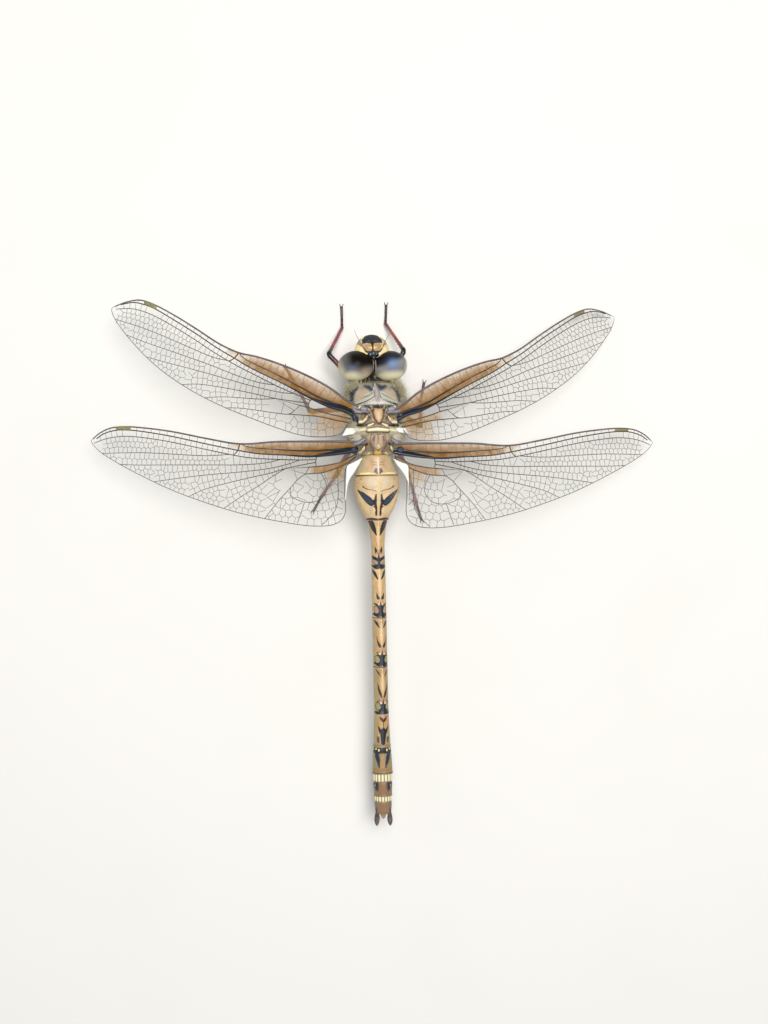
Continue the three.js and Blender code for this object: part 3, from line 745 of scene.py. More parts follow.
hindWing = {
    "span": 39.5, "root": (2.8, 13.0),
    "front": [
        (-0.005, 0.6), (0.025, 0.6), (0.06, 0.52), (0.1, 0.42), (0.15, 0.28), (0.21, 0.1), (0.3, -0.2),
        (0.425, -0.85), (0.55, -0.42), (0.68, 0.22), (0.78, 0.48), (0.86, 0.5), (0.92, 0.15), (0.96, -0.65),
        (0.985, -1.6),
    ],
    "rear": [
        (-0.005, -1.5), (0.03, -3.2), (0.028, -6.5), (0.02, -9.7), (0.055, -11.3), (0.14, -11.8),
        (0.26, -11.5), (0.4, -10.8), (0.52, -9.8), (0.64, -8.55), (0.74, -7.2), (0.83, -5.8), (0.91, -4.4),
        (0.96, -3.3), (0.988, -2.3),
    ],
    "nodus": 0.426, "webTo": 0.15, "innerEdge": -9, "stigma": (0.843, 0.898),
    "veins": {
        "Sc": [
            (-0.005, -0.2), (0.022, -0.4), (0.09, -0.82), (0.17, -1.18), (0.25, -1.3), (0.31, -1.33),
            (0.365, -1.32), (0.4, -1.2), (0.424, -0.9),
        ],
        "R": [
            (-0.005, -0.6), (0.02, -0.88), (0.09, -1.5), (0.167, -1.97), (0.25, -2.03), (0.31, -2.1),
            (0.363, -2.1), (0.43, -1.85), (0.55, -1.25), (0.68, -0.52), (0.78, -0.14), (0.845, -0.02),
            (0.9, -0.18), (0.945, -0.8), (0.972, -1.6),
        ],
        "RP1": [
            (0.142, -2.3), (0.18, -2.5), (0.22, -2.62), (0.3, -2.75), (0.37, -2.8), (0.43, -2.65),
            (0.55, -2.05), (0.68, -1.35), (0.78, -1.0), (0.86, -0.95), (0.93, -1.45), (0.98, -2.3),
        ],
        "RP2": [(0.46, -2.5), (0.55, -2.95), (0.66, -3.05), (0.78, -3.15), (0.88, -3.45), (0.945, -3.7)],
        "IR2": [
            (0.27, -2.7), (0.33, -3.4), (0.42, -3.9), (0.54, -4.25), (0.68, -4.65), (0.8, -5.0),
            (0.872, -5.1),
        ],
        "RP3": [
            (0.2, -2.58), (0.25, -3.4), (0.32, -4.2), (0.42, -4.95), (0.54, -5.7), (0.64, -6.45),
            (0.735, -7.25),
        ],
        "MA": [
            (0.142, -2.75), (0.18, -3.15), (0.25, -3.95), (0.3, -4.7), (0.38, -5.65), (0.46, -6.65),
            (0.54, -7.75), (0.6, -9.0),
        ],
        "MP": [(0.25, -3.95), (0.295, -5.2), (0.34, -6.6), (0.4, -8.3), (0.465, -10.3)],
        "Cu": [(-0.005, -1.1), (0.02, -1.7), (0.054, -2.5), (0.1, -3.05), (0.14, -3.35), (0.165, -3.5)],
        "CuA": [(0.175, -4.5), (0.2, -5.3), (0.225, -6.6), (0.265, -8.6), (0.31, -11.25)],
        "A": [(-0.005, -1.35), (0.015, -2.1), (0.035, -2.75), (0.08, -3.65), (0.12, -4.2), (0.175, -4.5)],
    },
    "triangle": [(0.165, -3.5), (0.25, -3.95), (0.175, -4.5), (0.165, -3.5)],
    "arculus": [(0.138, -1.85), (0.142, -2.5), (0.138, -3.35)],
    "loops": [
        [(0.12, -4.2), (0.1, -5.4), (0.095, -6.8), (0.12, -8.1), (0.17, -8.5), (0.22, -7.8), (0.225, -6.6)],
        [(0.17, -8.5), (0.18, -10.1), (0.19, -11.6)],
        [(0.06, -3.3), (0.055, -5.2), (0.05, -7.6), (0.06, -9.6), (0.1, -11.5)],
        [(0.05, -7.6), (0.03, -8.2)],
    ],
    "fields": [
        ("C", "Sc", 0.03, 0.424, 1.1, 1), ("Sc", "R", 0.15, 0.424, 1.0, 1),
        ("C", "R", 0.44, 0.835, 1.15, 1), ("C", "R", 0.91, 0.965, 0.8, 0),
        ("R", "RP1", 0.155, 0.835, 0.9, 0), ("R", "RP1", 0.855, 0.972, 0.8, 0),
        ("RP1", "RP3", 0.215, 0.27, 0.8, 0), ("RP1", "IR2", 0.29, 0.46, 0.85, 0),
        ("RP1", "RP2", 0.48, 0.945, 0.8, 0), ("RP2", "IR2", 0.46, 0.872, 0.85, 0),
        ("RP2", "rear", 0.872, 0.945, 0.8, 0), ("IR2", "RP3", 0.28, 0.735, 0.85, 0),
        ("IR2", "rear", 0.735, 0.872, 0.85, 0), ("RP1", "MA", 0.15, 0.2, 0.9, 1),
        ("RP3", "MA", 0.215, 0.6, 0.85, 0), ("RP3", "rear", 0.6, 0.735, 0.85, 0),
        ("MA", "MP", 0.27, 0.465, 0.9, 0), ("MA", "rear", 0.465, 0.6, 0.9, 0),
        ("MP", "CuA", 0.26, 0.31, 1.0, 0), ("MP", "rear", 0.31, 0.465, 1.0, 0),
        ("A", "rear", 0.03, 0.175, 1.15, 0), ("CuA", "rear", 0.177, 0.31, 1.1, 0),
        ("Cu", "A", 0.03, 0.165, 1.5, 1), ("MA", "T", 0.175, 0.24, 1.1, 1),
        ("T", "CuA", 0.185, 0.24, 1.1, 1),
    ],
    "honey": [
        ("C", "Sc", 0.005, 0.424, 0.5, 1.0), ("Sc", "R", 0.045, 0.44, 0.9, 0.8),
        ("Cu", "A", 0.0, 0.165, 0.75, 0.85), ("C", "R", 0.426, 0.47, 0.5, 0.12),
        ("A", "tintEdge", 0.035, 0.1, 0.65, 0.15),
    ],
}
wings = {
    "forewing_left": {"wing": foreWing, "side": -1, "y": 6.9, "sweep": 27.4, "droop": 6.5},
    "forewing_right": {"wing": foreWing, "side": 1, "y": 6.1, "sweep": 27.4, "droop": 18.5},
    "hindwing_left": {"wing": hindWing, "side": -1, "y": 1.45, "sweep": 5.6, "droop": 8},
    "hindwing_right": {"wing": hindWing, "side": 1, "y": 1.05, "sweep": 3.7, "droop": 12.5},
}
wingLook = {
    "pitch": 5,  # degrees that the rear edge hangs below the front one
    "earlyDroop": 0.55,  # how evenly the droop is spread: 0 is all at the tip, 1 is a straight wing
    "tintEdge": -5.2,  # mm ahead of the root, as far back as the hindwing's tint reaches
    "pleat": {
        "C": 0.1, "Sc": -0.22, "R": 0.12, "RP1": -0.06, "MA": 0.05, "rear": 0.0,
    },  # mm up or down at the root
    "seed": 11,
}
veinRadius = {
    # mm, at the root and at the tip
    "C": (
        0.17, 0.09,
    ),
    "Sc": (0.2, 0.06), "R": (0.27, 0.08), "RP1": (0.075, 0.05), "RP2": (0.05, 0.04), "IR2": (0.055, 0.04),
    "RP3": (0.055, 0.04), "MA": (0.065, 0.04), "MP": (0.055, 0.04), "Cu": (0.1, 0.07), "CuA": (0.06, 0.04),
    "A": (0.1, 0.06), "rear": (0.05, 0.04), "cell": 0.027, "edge": 0.05,
}


def veinAt(wing, name):
    # how far ahead a long vein or an edge lies, for any share of the span
    if name == "C":
        rows = spline(wing["front"], 12)
    elif name == "tintEdge":
        rows = [(0, wingLook["tintEdge"]), (1, wingLook["tintEdge"])]
    elif name == "T":
        rows = wing["triangle"][:2]
    elif name == "rear":
        # without the inner edge, which runs along the body; on the forewing the tip is left out too
        rows = spline(wing["rear"], 12)
        if wing is hindWing:
            corner = min(range(len(rows)), key=lambda i: rows[i][0] if rows[i][1] < wing["innerEdge"] else 9)
            rows = rows[corner:]
        else:
            rows = [row for row in rows if row[1] < wing["innerEdge"]]
    else:
        rows = spline(wing["veins"][name], 8)
    shares, aheads = np.array(sorted(rows, key=lambda row: row[0])).T
    return lambda share: float(np.interp(share, shares, aheads))


def stripAt(wing, frontName, rearName):
    # how far ahead a point lies between two long veins, for a share of the span and a share across
    front, rear = veinAt(wing, frontName), veinAt(wing, rearName)
    return lambda share, across: lerp(front(share), rear(share), across)


def between(near, far, along, across):
    # a point between two lines that have as many points as each other
    spot = along * (len(near) - 1)
    i = min(int(spot), len(near) - 2)
    a, b = ([lerp(line[i][k], line[i + 1][k], spot - i) for k in (0, 1)] for line in (near, far))
    return lerp(a[0], b[0], across), lerp(a[1], b[1], across)


def pleatAt(wing):
    # the wing is pleated: its long veins lie by turns on ridges and in valleys, most of all at the root
    lines = {name: veinAt(wing, name) for name in wingLook["pleat"]}

    def height(share, ahead):
        aheads, heights = zip(*sorted((lines[name](share), wingLook["pleat"][name]) for name in lines))
        fade = (1 - 0.75 * clamp(share / 0.5)) * clamp((1 - share) / 0.1)
        return float(np.interp(ahead, aheads, heights)) * fade

    return height


def wingPlacer(pose):
    wing, side = pose["wing"], pose["side"]
    sweep, droop, pitch = (math.radians(turn) for turn in (pose["sweep"], pose["droop"], wingLook["pitch"]))
    reach, drop = wing["span"] * math.cos(droop), wing["span"] * math.sin(droop)
    height = pleatAt(wing)

    def place(share, ahead, lift=0.0):
        fall = lerp(share * share, share, wingLook["earlyDroop"])
        return Vector((
            side * (wing["root"][0] + reach * share * math.cos(sweep) - ahead * math.sin(sweep)),
            pose["y"] + reach * share * math.sin(sweep) + ahead * math.cos(sweep),
            wing["root"][1] - drop * fall - ahead * math.sin(pitch) + height(share, ahead) + lift,
        ))

    return place


def nearestOn(line, x, y):
    # the point of a bent line that lies nearest to x, y
    line = np.asarray(line)
    a, step = line[:-1], np.diff(line, axis=0)
    shadow = (x - a[:, 0]) * step[:, 0] + (y - a[:, 1]) * step[:, 1]
    t = np.clip(shadow / np.maximum((step ** 2).sum(1), 1e-9), 0, 1)
    spots = a + step * t[:, None]
    return spots[np.argmin(np.hypot(spots[:, 0] - x, spots[:, 1] - y))]


def cellWalls(wing, field, dice):
    # the walls between the cells of one field: each wall lies midway between two neighbouring seeds,
    # and seeds mirrored over the field's edges close the cells there
    frontName, rearName, shareFrom, shareTo, size, rowsWanted = field
    front, rear = veinAt(wing, frontName), veinAt(wing, rearName)
    span = wing["span"]
    start, end = shareFrom * span, shareTo * span
    edges = [[(x, edge(x / span)) for x in np.linspace(start, end, 60)] for edge in (front, rear)]
    seeds = []
    x = start
    while x < end:
        high, low = front(x / span), rear(x / span)
        gap = max(high - low, 0.05)
        rows = rowsWanted or max(1, round(gap / size))
        width = size * (0.85 if rows > 1 else clamp(gap / size, 0.55, 1.0) if not rowsWanted else 1.0)
        for row in range(rows):
            stagger = 0.5 * width * (row % 2)
            seedX = x + width / 2 + stagger + dice.uniform(-0.13, 0.13) * width
            if not start < seedX < end:
                continue
            high, low = front(seedX / span), rear(seedX / span)
            seedY = low + (high - low) * (row + 0.5 + dice.uniform(-0.12, 0.12)) / rows
            seeds.append((seedX, seedY))
        x += width
    if len(seeds) < 2:
        return []
    mirrored = []
    for seedX, seedY in seeds:
        for edge in edges:
            spot = nearestOn(edge, seedX, seedY)
            mirrored.append((2 * spot[0] - seedX, 2 * spot[1] - seedY))
        sideways = (2 * start - seedX, 2 * end - seedX)
        mirrored += [(x2, seedY) for x2 in sideways if abs(x2 - seedX) < 3.5 * size]
    points = [Vector(p) for p in seeds + mirrored]
    corners, _, faces, origin, _, _ = geometry.delaunay_2d_cdt(points, [], [], 0, 1e-5)
    centres = []
    sides = {}
    for number, face in enumerate(faces):
        a, b, c = (corners[i] for i in face)
        d = 2 * (a.x * (b.y - c.y) + b.x * (c.y - a.y) + c.x * (a.y - b.y))
        if abs(d) < 1e-9:
            d = 1e-9
        aa, bb, cc = a.length_squared, b.length_squared, c.length_squared
        centres.append((
            (aa * (b.y - c.y) + bb * (c.y - a.y) + cc * (a.y - b.y)) / d,
            (aa * (c.x - b.x) + bb * (a.x - c.x) + cc * (b.x - a.x)) / d,
        ))
        for i, j in ((0, 1), (1, 2), (2, 0)):
            sides.setdefault(frozenset((face[i], face[j])), []).append(number)
    real = {i for i, sources in enumerate(origin) if any(s < len(seeds) for s in sources)}

    def held(x, y):
        # keeps a wall's end on the field
        x = clamp(x, start, end)
        high, low = front(x / span), rear(x / span)
        if low - 0.12 < y < high + 0.12:
            return x, y
        return tuple(nearestOn(edges[0] if y > high else edges[1], x, y))

    walls = []
    for side, near in sides.items():
        if len(near) == 2 and side <= real:
            ends = [held(*centres[n]) for n in near]
            if 0.12 < math.dist(*ends) < 4 * size:
                walls.append([(x / span, y) for x, y in ends])
    return walls


def makeTubes(name, lines, sidesLevel=0):
    # lines of [place, radius] drawn as round wires, then turned to mesh
    curve = bpy.data.curves.new(name, "CURVE")
    curve.dimensions = "3D"
    curve.bevel_depth = 1.0
    curve.bevel_resolution = sidesLevel
    curve.use_fill_caps = True
    for line in lines:
        wire = curve.splines.new("POLY")
        wire.points.add(len(line) - 1)
        for point, (place, radius) in zip(wire.points, line):
            point.co = (*place, 1)
            point.radius = radius
    piece = bpy.data.objects.new(name, curve)
    bpy.context.scene.collection.objects.link(piece)
    pick(piece)
    bpy.ops.object.convert(target="MESH")
    return bpy.context.object


def makeSheet(name, columns, rows, placeAt):
    # a grid laid over a patch of the wing; placeAt(along, across) gives each corner, both from 0 to 1
    clear()
    bpy.ops.mesh.primitive_grid_add(x_subdivisions=columns, y_subdivisions=rows, size=2)
    piece = bpy.context.object
    piece.name = piece.data.name = name
    shares = [((v.co.x + 1) / 2, (1 - v.co.y) / 2) for v in piece.data.vertices]
    mould(piece, [placeAt(*s) for s in shares])
    return piece, shares


def thicken(piece, thickness):
    pick(piece)
    modifier = piece.modifiers.new("Thick", "SOLIDIFY")
    modifier.thickness = thickness
    modifier.offset = -1
    bpy.ops.object.modifier_apply(modifier=modifier.name)


def wingMaterials():
    made = {}
    # wing vein, hardened cuticle tube: almost black brown, a little lacquer shine
    made["vein"] = cloudedMaterial("veinCuticle", "#2a2019", "#4b3624", 2.5, -0.2, Roughness=0.38, IOR=1.54)
    # the doubled main vein by the root: blue-black, smoother than the rest
    made["stem"] = cloudedMaterial(
        "veinCuticleBlueBlack", "#0c1017", "#1d2733", 1.2, -0.2, 0.3, Roughness=0.3, IOR=1.54,
    )
    # the front edge: mauve-grey cuticle with fine saw teeth, matt
    made["costa"] = cloudedMaterial(
        "veinCuticleMauve", "#6f5f62", "#4c4042", 1.5, -0.2, Roughness=0.48, IOR=1.54,
    )
    # wing membrane, clear cuticle two thousandths of a millimetre thick: glassy, with a faint grey cast
    made["film"] = cloudedMaterial(
        "clearFilm", "#b9bcb6", "#d9d6c8", 4, -0.2, 0.2, relief=(1.0, 0.1, 0.35),
        Roughness=0.35, IOR=1.5, Specular_IOR_Level=0.3, Alpha=0.12,
    )
    # honey-stained membrane: the film where it is tinted, deepest beside the veins
    made["honey"], tree, shader = newMaterial("honeyFilm", Roughness=0.35, IOR=1.5, Specular_IOR_Level=0.3)
    tint = addNode(tree, "Attribute", attribute_name="tint").outputs["Fac"]
    cloud = addNode(tree, "Math", {0: mottle(tree, 0.9), 1: 0.45, 2: tint}, operation="MULTIPLY_ADD")
    tree.links.new(stain(tree, cloud.outputs[0], "#c39234", "#6d4412"), shader.inputs["Base Color"])
    veil = addNode(tree, "Math", {0: cloud.outputs[0], 1: 1.15}, operation="MULTIPLY", use_clamp=True)
    tree.links.new(veil.outputs[0], shader.inputs["Alpha"])
    # wing spot, a thick cell full of pigment: opaque pale olive-yellow
    made["stigma"] = cloudedMaterial(
        "wingSpotCuticle", "#8a855a", "#6d6845", 0.4, -0.2, 0.3, Roughness=0.4, IOR=1.54,
    )
    # membranule, soft white skin along the inner edge: matt, like thin kid leather
    made["membranule"] = cloudedMaterial(
        "membranuleSkin", "#f0ede4", "#cfcabc", 0.8, -0.1, 0.25, 0.6, Roughness=0.62, IOR=1.45,
    )
    return made


def makeWing(name, pose, finish, number):
    wing = pose["wing"]
    place = wingPlacer(pose)
    dice = random.Random(wingLook["seed"] + number)
    frontEdge, rearEdge = spline(wing["front"], 6), spline(wing["rear"], 6)

    def line(points, radii, steps=6, lift=0.0):
        smooth = spline(points, steps) if len(points) > 2 else points
        return [
            (place(share, ahead, lift), lerp(*radii, clamp(i / (len(smooth) - 1))))
            for i, (share, ahead) in enumerate(smooth)
        ]

    wires, stem = [], []
    for vein, points in wing["veins"].items():
        thick, thin = veinRadius[vein]
        if vein in ("Sc", "R"):
            # the thick blue-black part runs out to a third of the span, thinning all the way
            smooth = spline(points, 8)
            near = [p for p in smooth if p[0] <= 0.3]
            far = [p for p in smooth if p[0] >= near[-1][0]]
            reach = [lerp(thick, 0.085, clamp(p[0] / 0.26)) for p in near]
            stem.append([(place(*p), r) for p, r in zip(near, reach)])
            wires.append([(place(*p), lerp(0.085, thin, i / (len(far) - 1))) for i, p in enumerate(far)])
        else:
            wires.append(line(points, (thick, thin)))
    rearTip, frontTip = rearEdge[-1], frontEdge[-1]
    tip = ((rearTip[0] + frontTip[0]) / 2 + 0.006, (rearTip[1] + frontTip[1]) / 2)
    wires.append(line([*rearEdge, tip, frontTip], veinRadius["rear"], 1))
    wires.append(line(wing["triangle"], (0.05, 0.05), 1))
    wires.append(line(wing["arculus"], (0.07, 0.06)))
    # the notch half way along the front edge: a short strong vein from edge to edge
    nodus = wing["nodus"]
    behind = nodus + 0.02
    notch = [
        (nodus, veinAt(wing, "C")(nodus)), (nodus + 0.006, veinAt(wing, "R")(nodus)),
        (behind, veinAt(wing, "RP1")(behind)),
    ]
    wires.append(line(notch, (0.1, 0.06)))
    for loop in wing.get("loops", []):
        wires.append(line(loop, (0.045, 0.045)))
    for field in wing["fields"]:
        for wall in cellWalls(wing, field, dice):
            wires.append([(place(*end), veinRadius["cell"]) for end in wall])
    settle(makeTubes(name + "_veins", wires), finish["vein"], [name])
    stemStrip = stripAt(wing, "Sc", "R")

    def web(along, across):
        # solid dark skin joins the two main veins by the root, and runs out in a wedge along the rear one
        share = lerp(-0.01, wing["webTo"], along)
        shift = lerp(0.9 * clamp((along - 0.3) / 0.7), 1, across)
        return place(share, stemStrip(share, shift), 0.08)

    sheet, _ = makeSheet(name + "_web", 24, 4, web)
    thicken(sheet, 0.12)
    stems = joinAll([makeTubes(name + "_stem", stem, 1), sheet], name + "_stem")
    settle(stems, finish["stem"])
    costa = line([(share, ahead - 0.05) for share, ahead in wing["front"]], veinRadius["C"])
    settle(makeTubes(name + "_costa", [costa], 1), finish["costa"])

    # the clear film, on the real edges
    fineFront, fineRear = spline(wing["front"], 8), spline(wing["rear"], 8)

    def film(along, across):
        return place(*between(fineFront, fineRear, along, across))

    sheet, _ = makeSheet(name + "_film", 90, 26, film)
    settle(sheet, finish["film"])

    patches = []
    for frontName, rearName, shareFrom, shareTo, atFront, atRear in wing["honey"]:
        honeyStrip = stripAt(wing, frontName, rearName)

        def patch(along, across):
            share = lerp(shareFrom, shareTo, along)
            return place(share, honeyStrip(share, across), 0.008)

        sheet, shares = makeSheet(f"{name}_honey", max(6, int((shareTo - shareFrom) * 90)), 6, patch)
        keepNumbers(sheet, "tint", [
            lerp(atFront, atRear, across) * clamp((1 - along) / 0.12) * (1 - 0.25 * along)
            for along, across in shares
        ])
        patches.append(sheet)
    settle(joinAll(patches, f"{name}_honey"), finish["honey"])

    # the wing spot, a thick narrow cell between the front edge and the next vein
    front, rear = veinAt(wing, "C"), veinAt(wing, "R")
    start, end = wing["stigma"]

    def spot(along, across):
        share = lerp(start, end, along) + (0.5 - across) * 0.008
        dome = 0.1 * (1 - (2 * across - 1) ** 2) * clamp(min(along, 1 - along) / 0.12)
        return place(share, lerp(front(share) - 0.08, rear(share), across), dome + 0.03)

    sheet, _ = makeSheet(name + "_stigma", 16, 6, spot)
    thicken(sheet, 0.12)
    settle(sheet, finish["stigma"])


finish = wingMaterials()
for number, (name, pose) in enumerate(wings.items()):
    makeWing(name, pose, finish, number)

# the soft white flap along the inner edge of each hindwing: its outer and inner lines on x and y
membranule = {
    "left": {
        "outer": [
            (-1.98, -0.3), (-3.2, -0.85), (-4.12, -1.35), (-4.28, -2.6), (-4.33, -4.3), (-4.45, -6.2),
        ],
        "inner": [(-1.98, -0.34), (-2.35, -1.1), (-3.16, -2.37), (-3.85, -3.4), (-4.2, -4.6), (-4.4, -6.2)],
    },
    "right": {
        "outer": [(2.42, -0.38), (3.6, -0.92), (4.56, -1.43), (4.62, -2.8), (4.64, -4.4), (4.6, -6.3)],
        "inner": [(2.42, -0.42), (2.85, -1.2), (3.85, -2.6), (4.4, -3.75), (4.52, -4.8), (4.56, -6.3)],
    },
    "z": 13.05, "rise": 0.085,
}


def makeMembranule(side, lines):
    outer, inner = (spline(lines[key], 6) for key in ("outer", "inner"))

    def at(along, across):
        x, y = between(outer, inner, along, across)
        return x, y, membranule["z"] - membranule["rise"] * y + 0.12 * math.sin(across * math.pi)

    sheet, _ = makeSheet(f"membranule_{side}", 30, 6, at)
    thicken(sheet, 0.06)
    settle(sheet, finish["membranule"])
    rim = [((x, y, membranule["z"] - membranule["rise"] * y + 0.05), 0.05) for x, y in outer]
    settle(makeTubes(f"membranule_{side}_vein", [rim]), finish["vein"])


for side in ("left", "right"):
    makeMembranule(side, membranule[side])
print("wings ready")


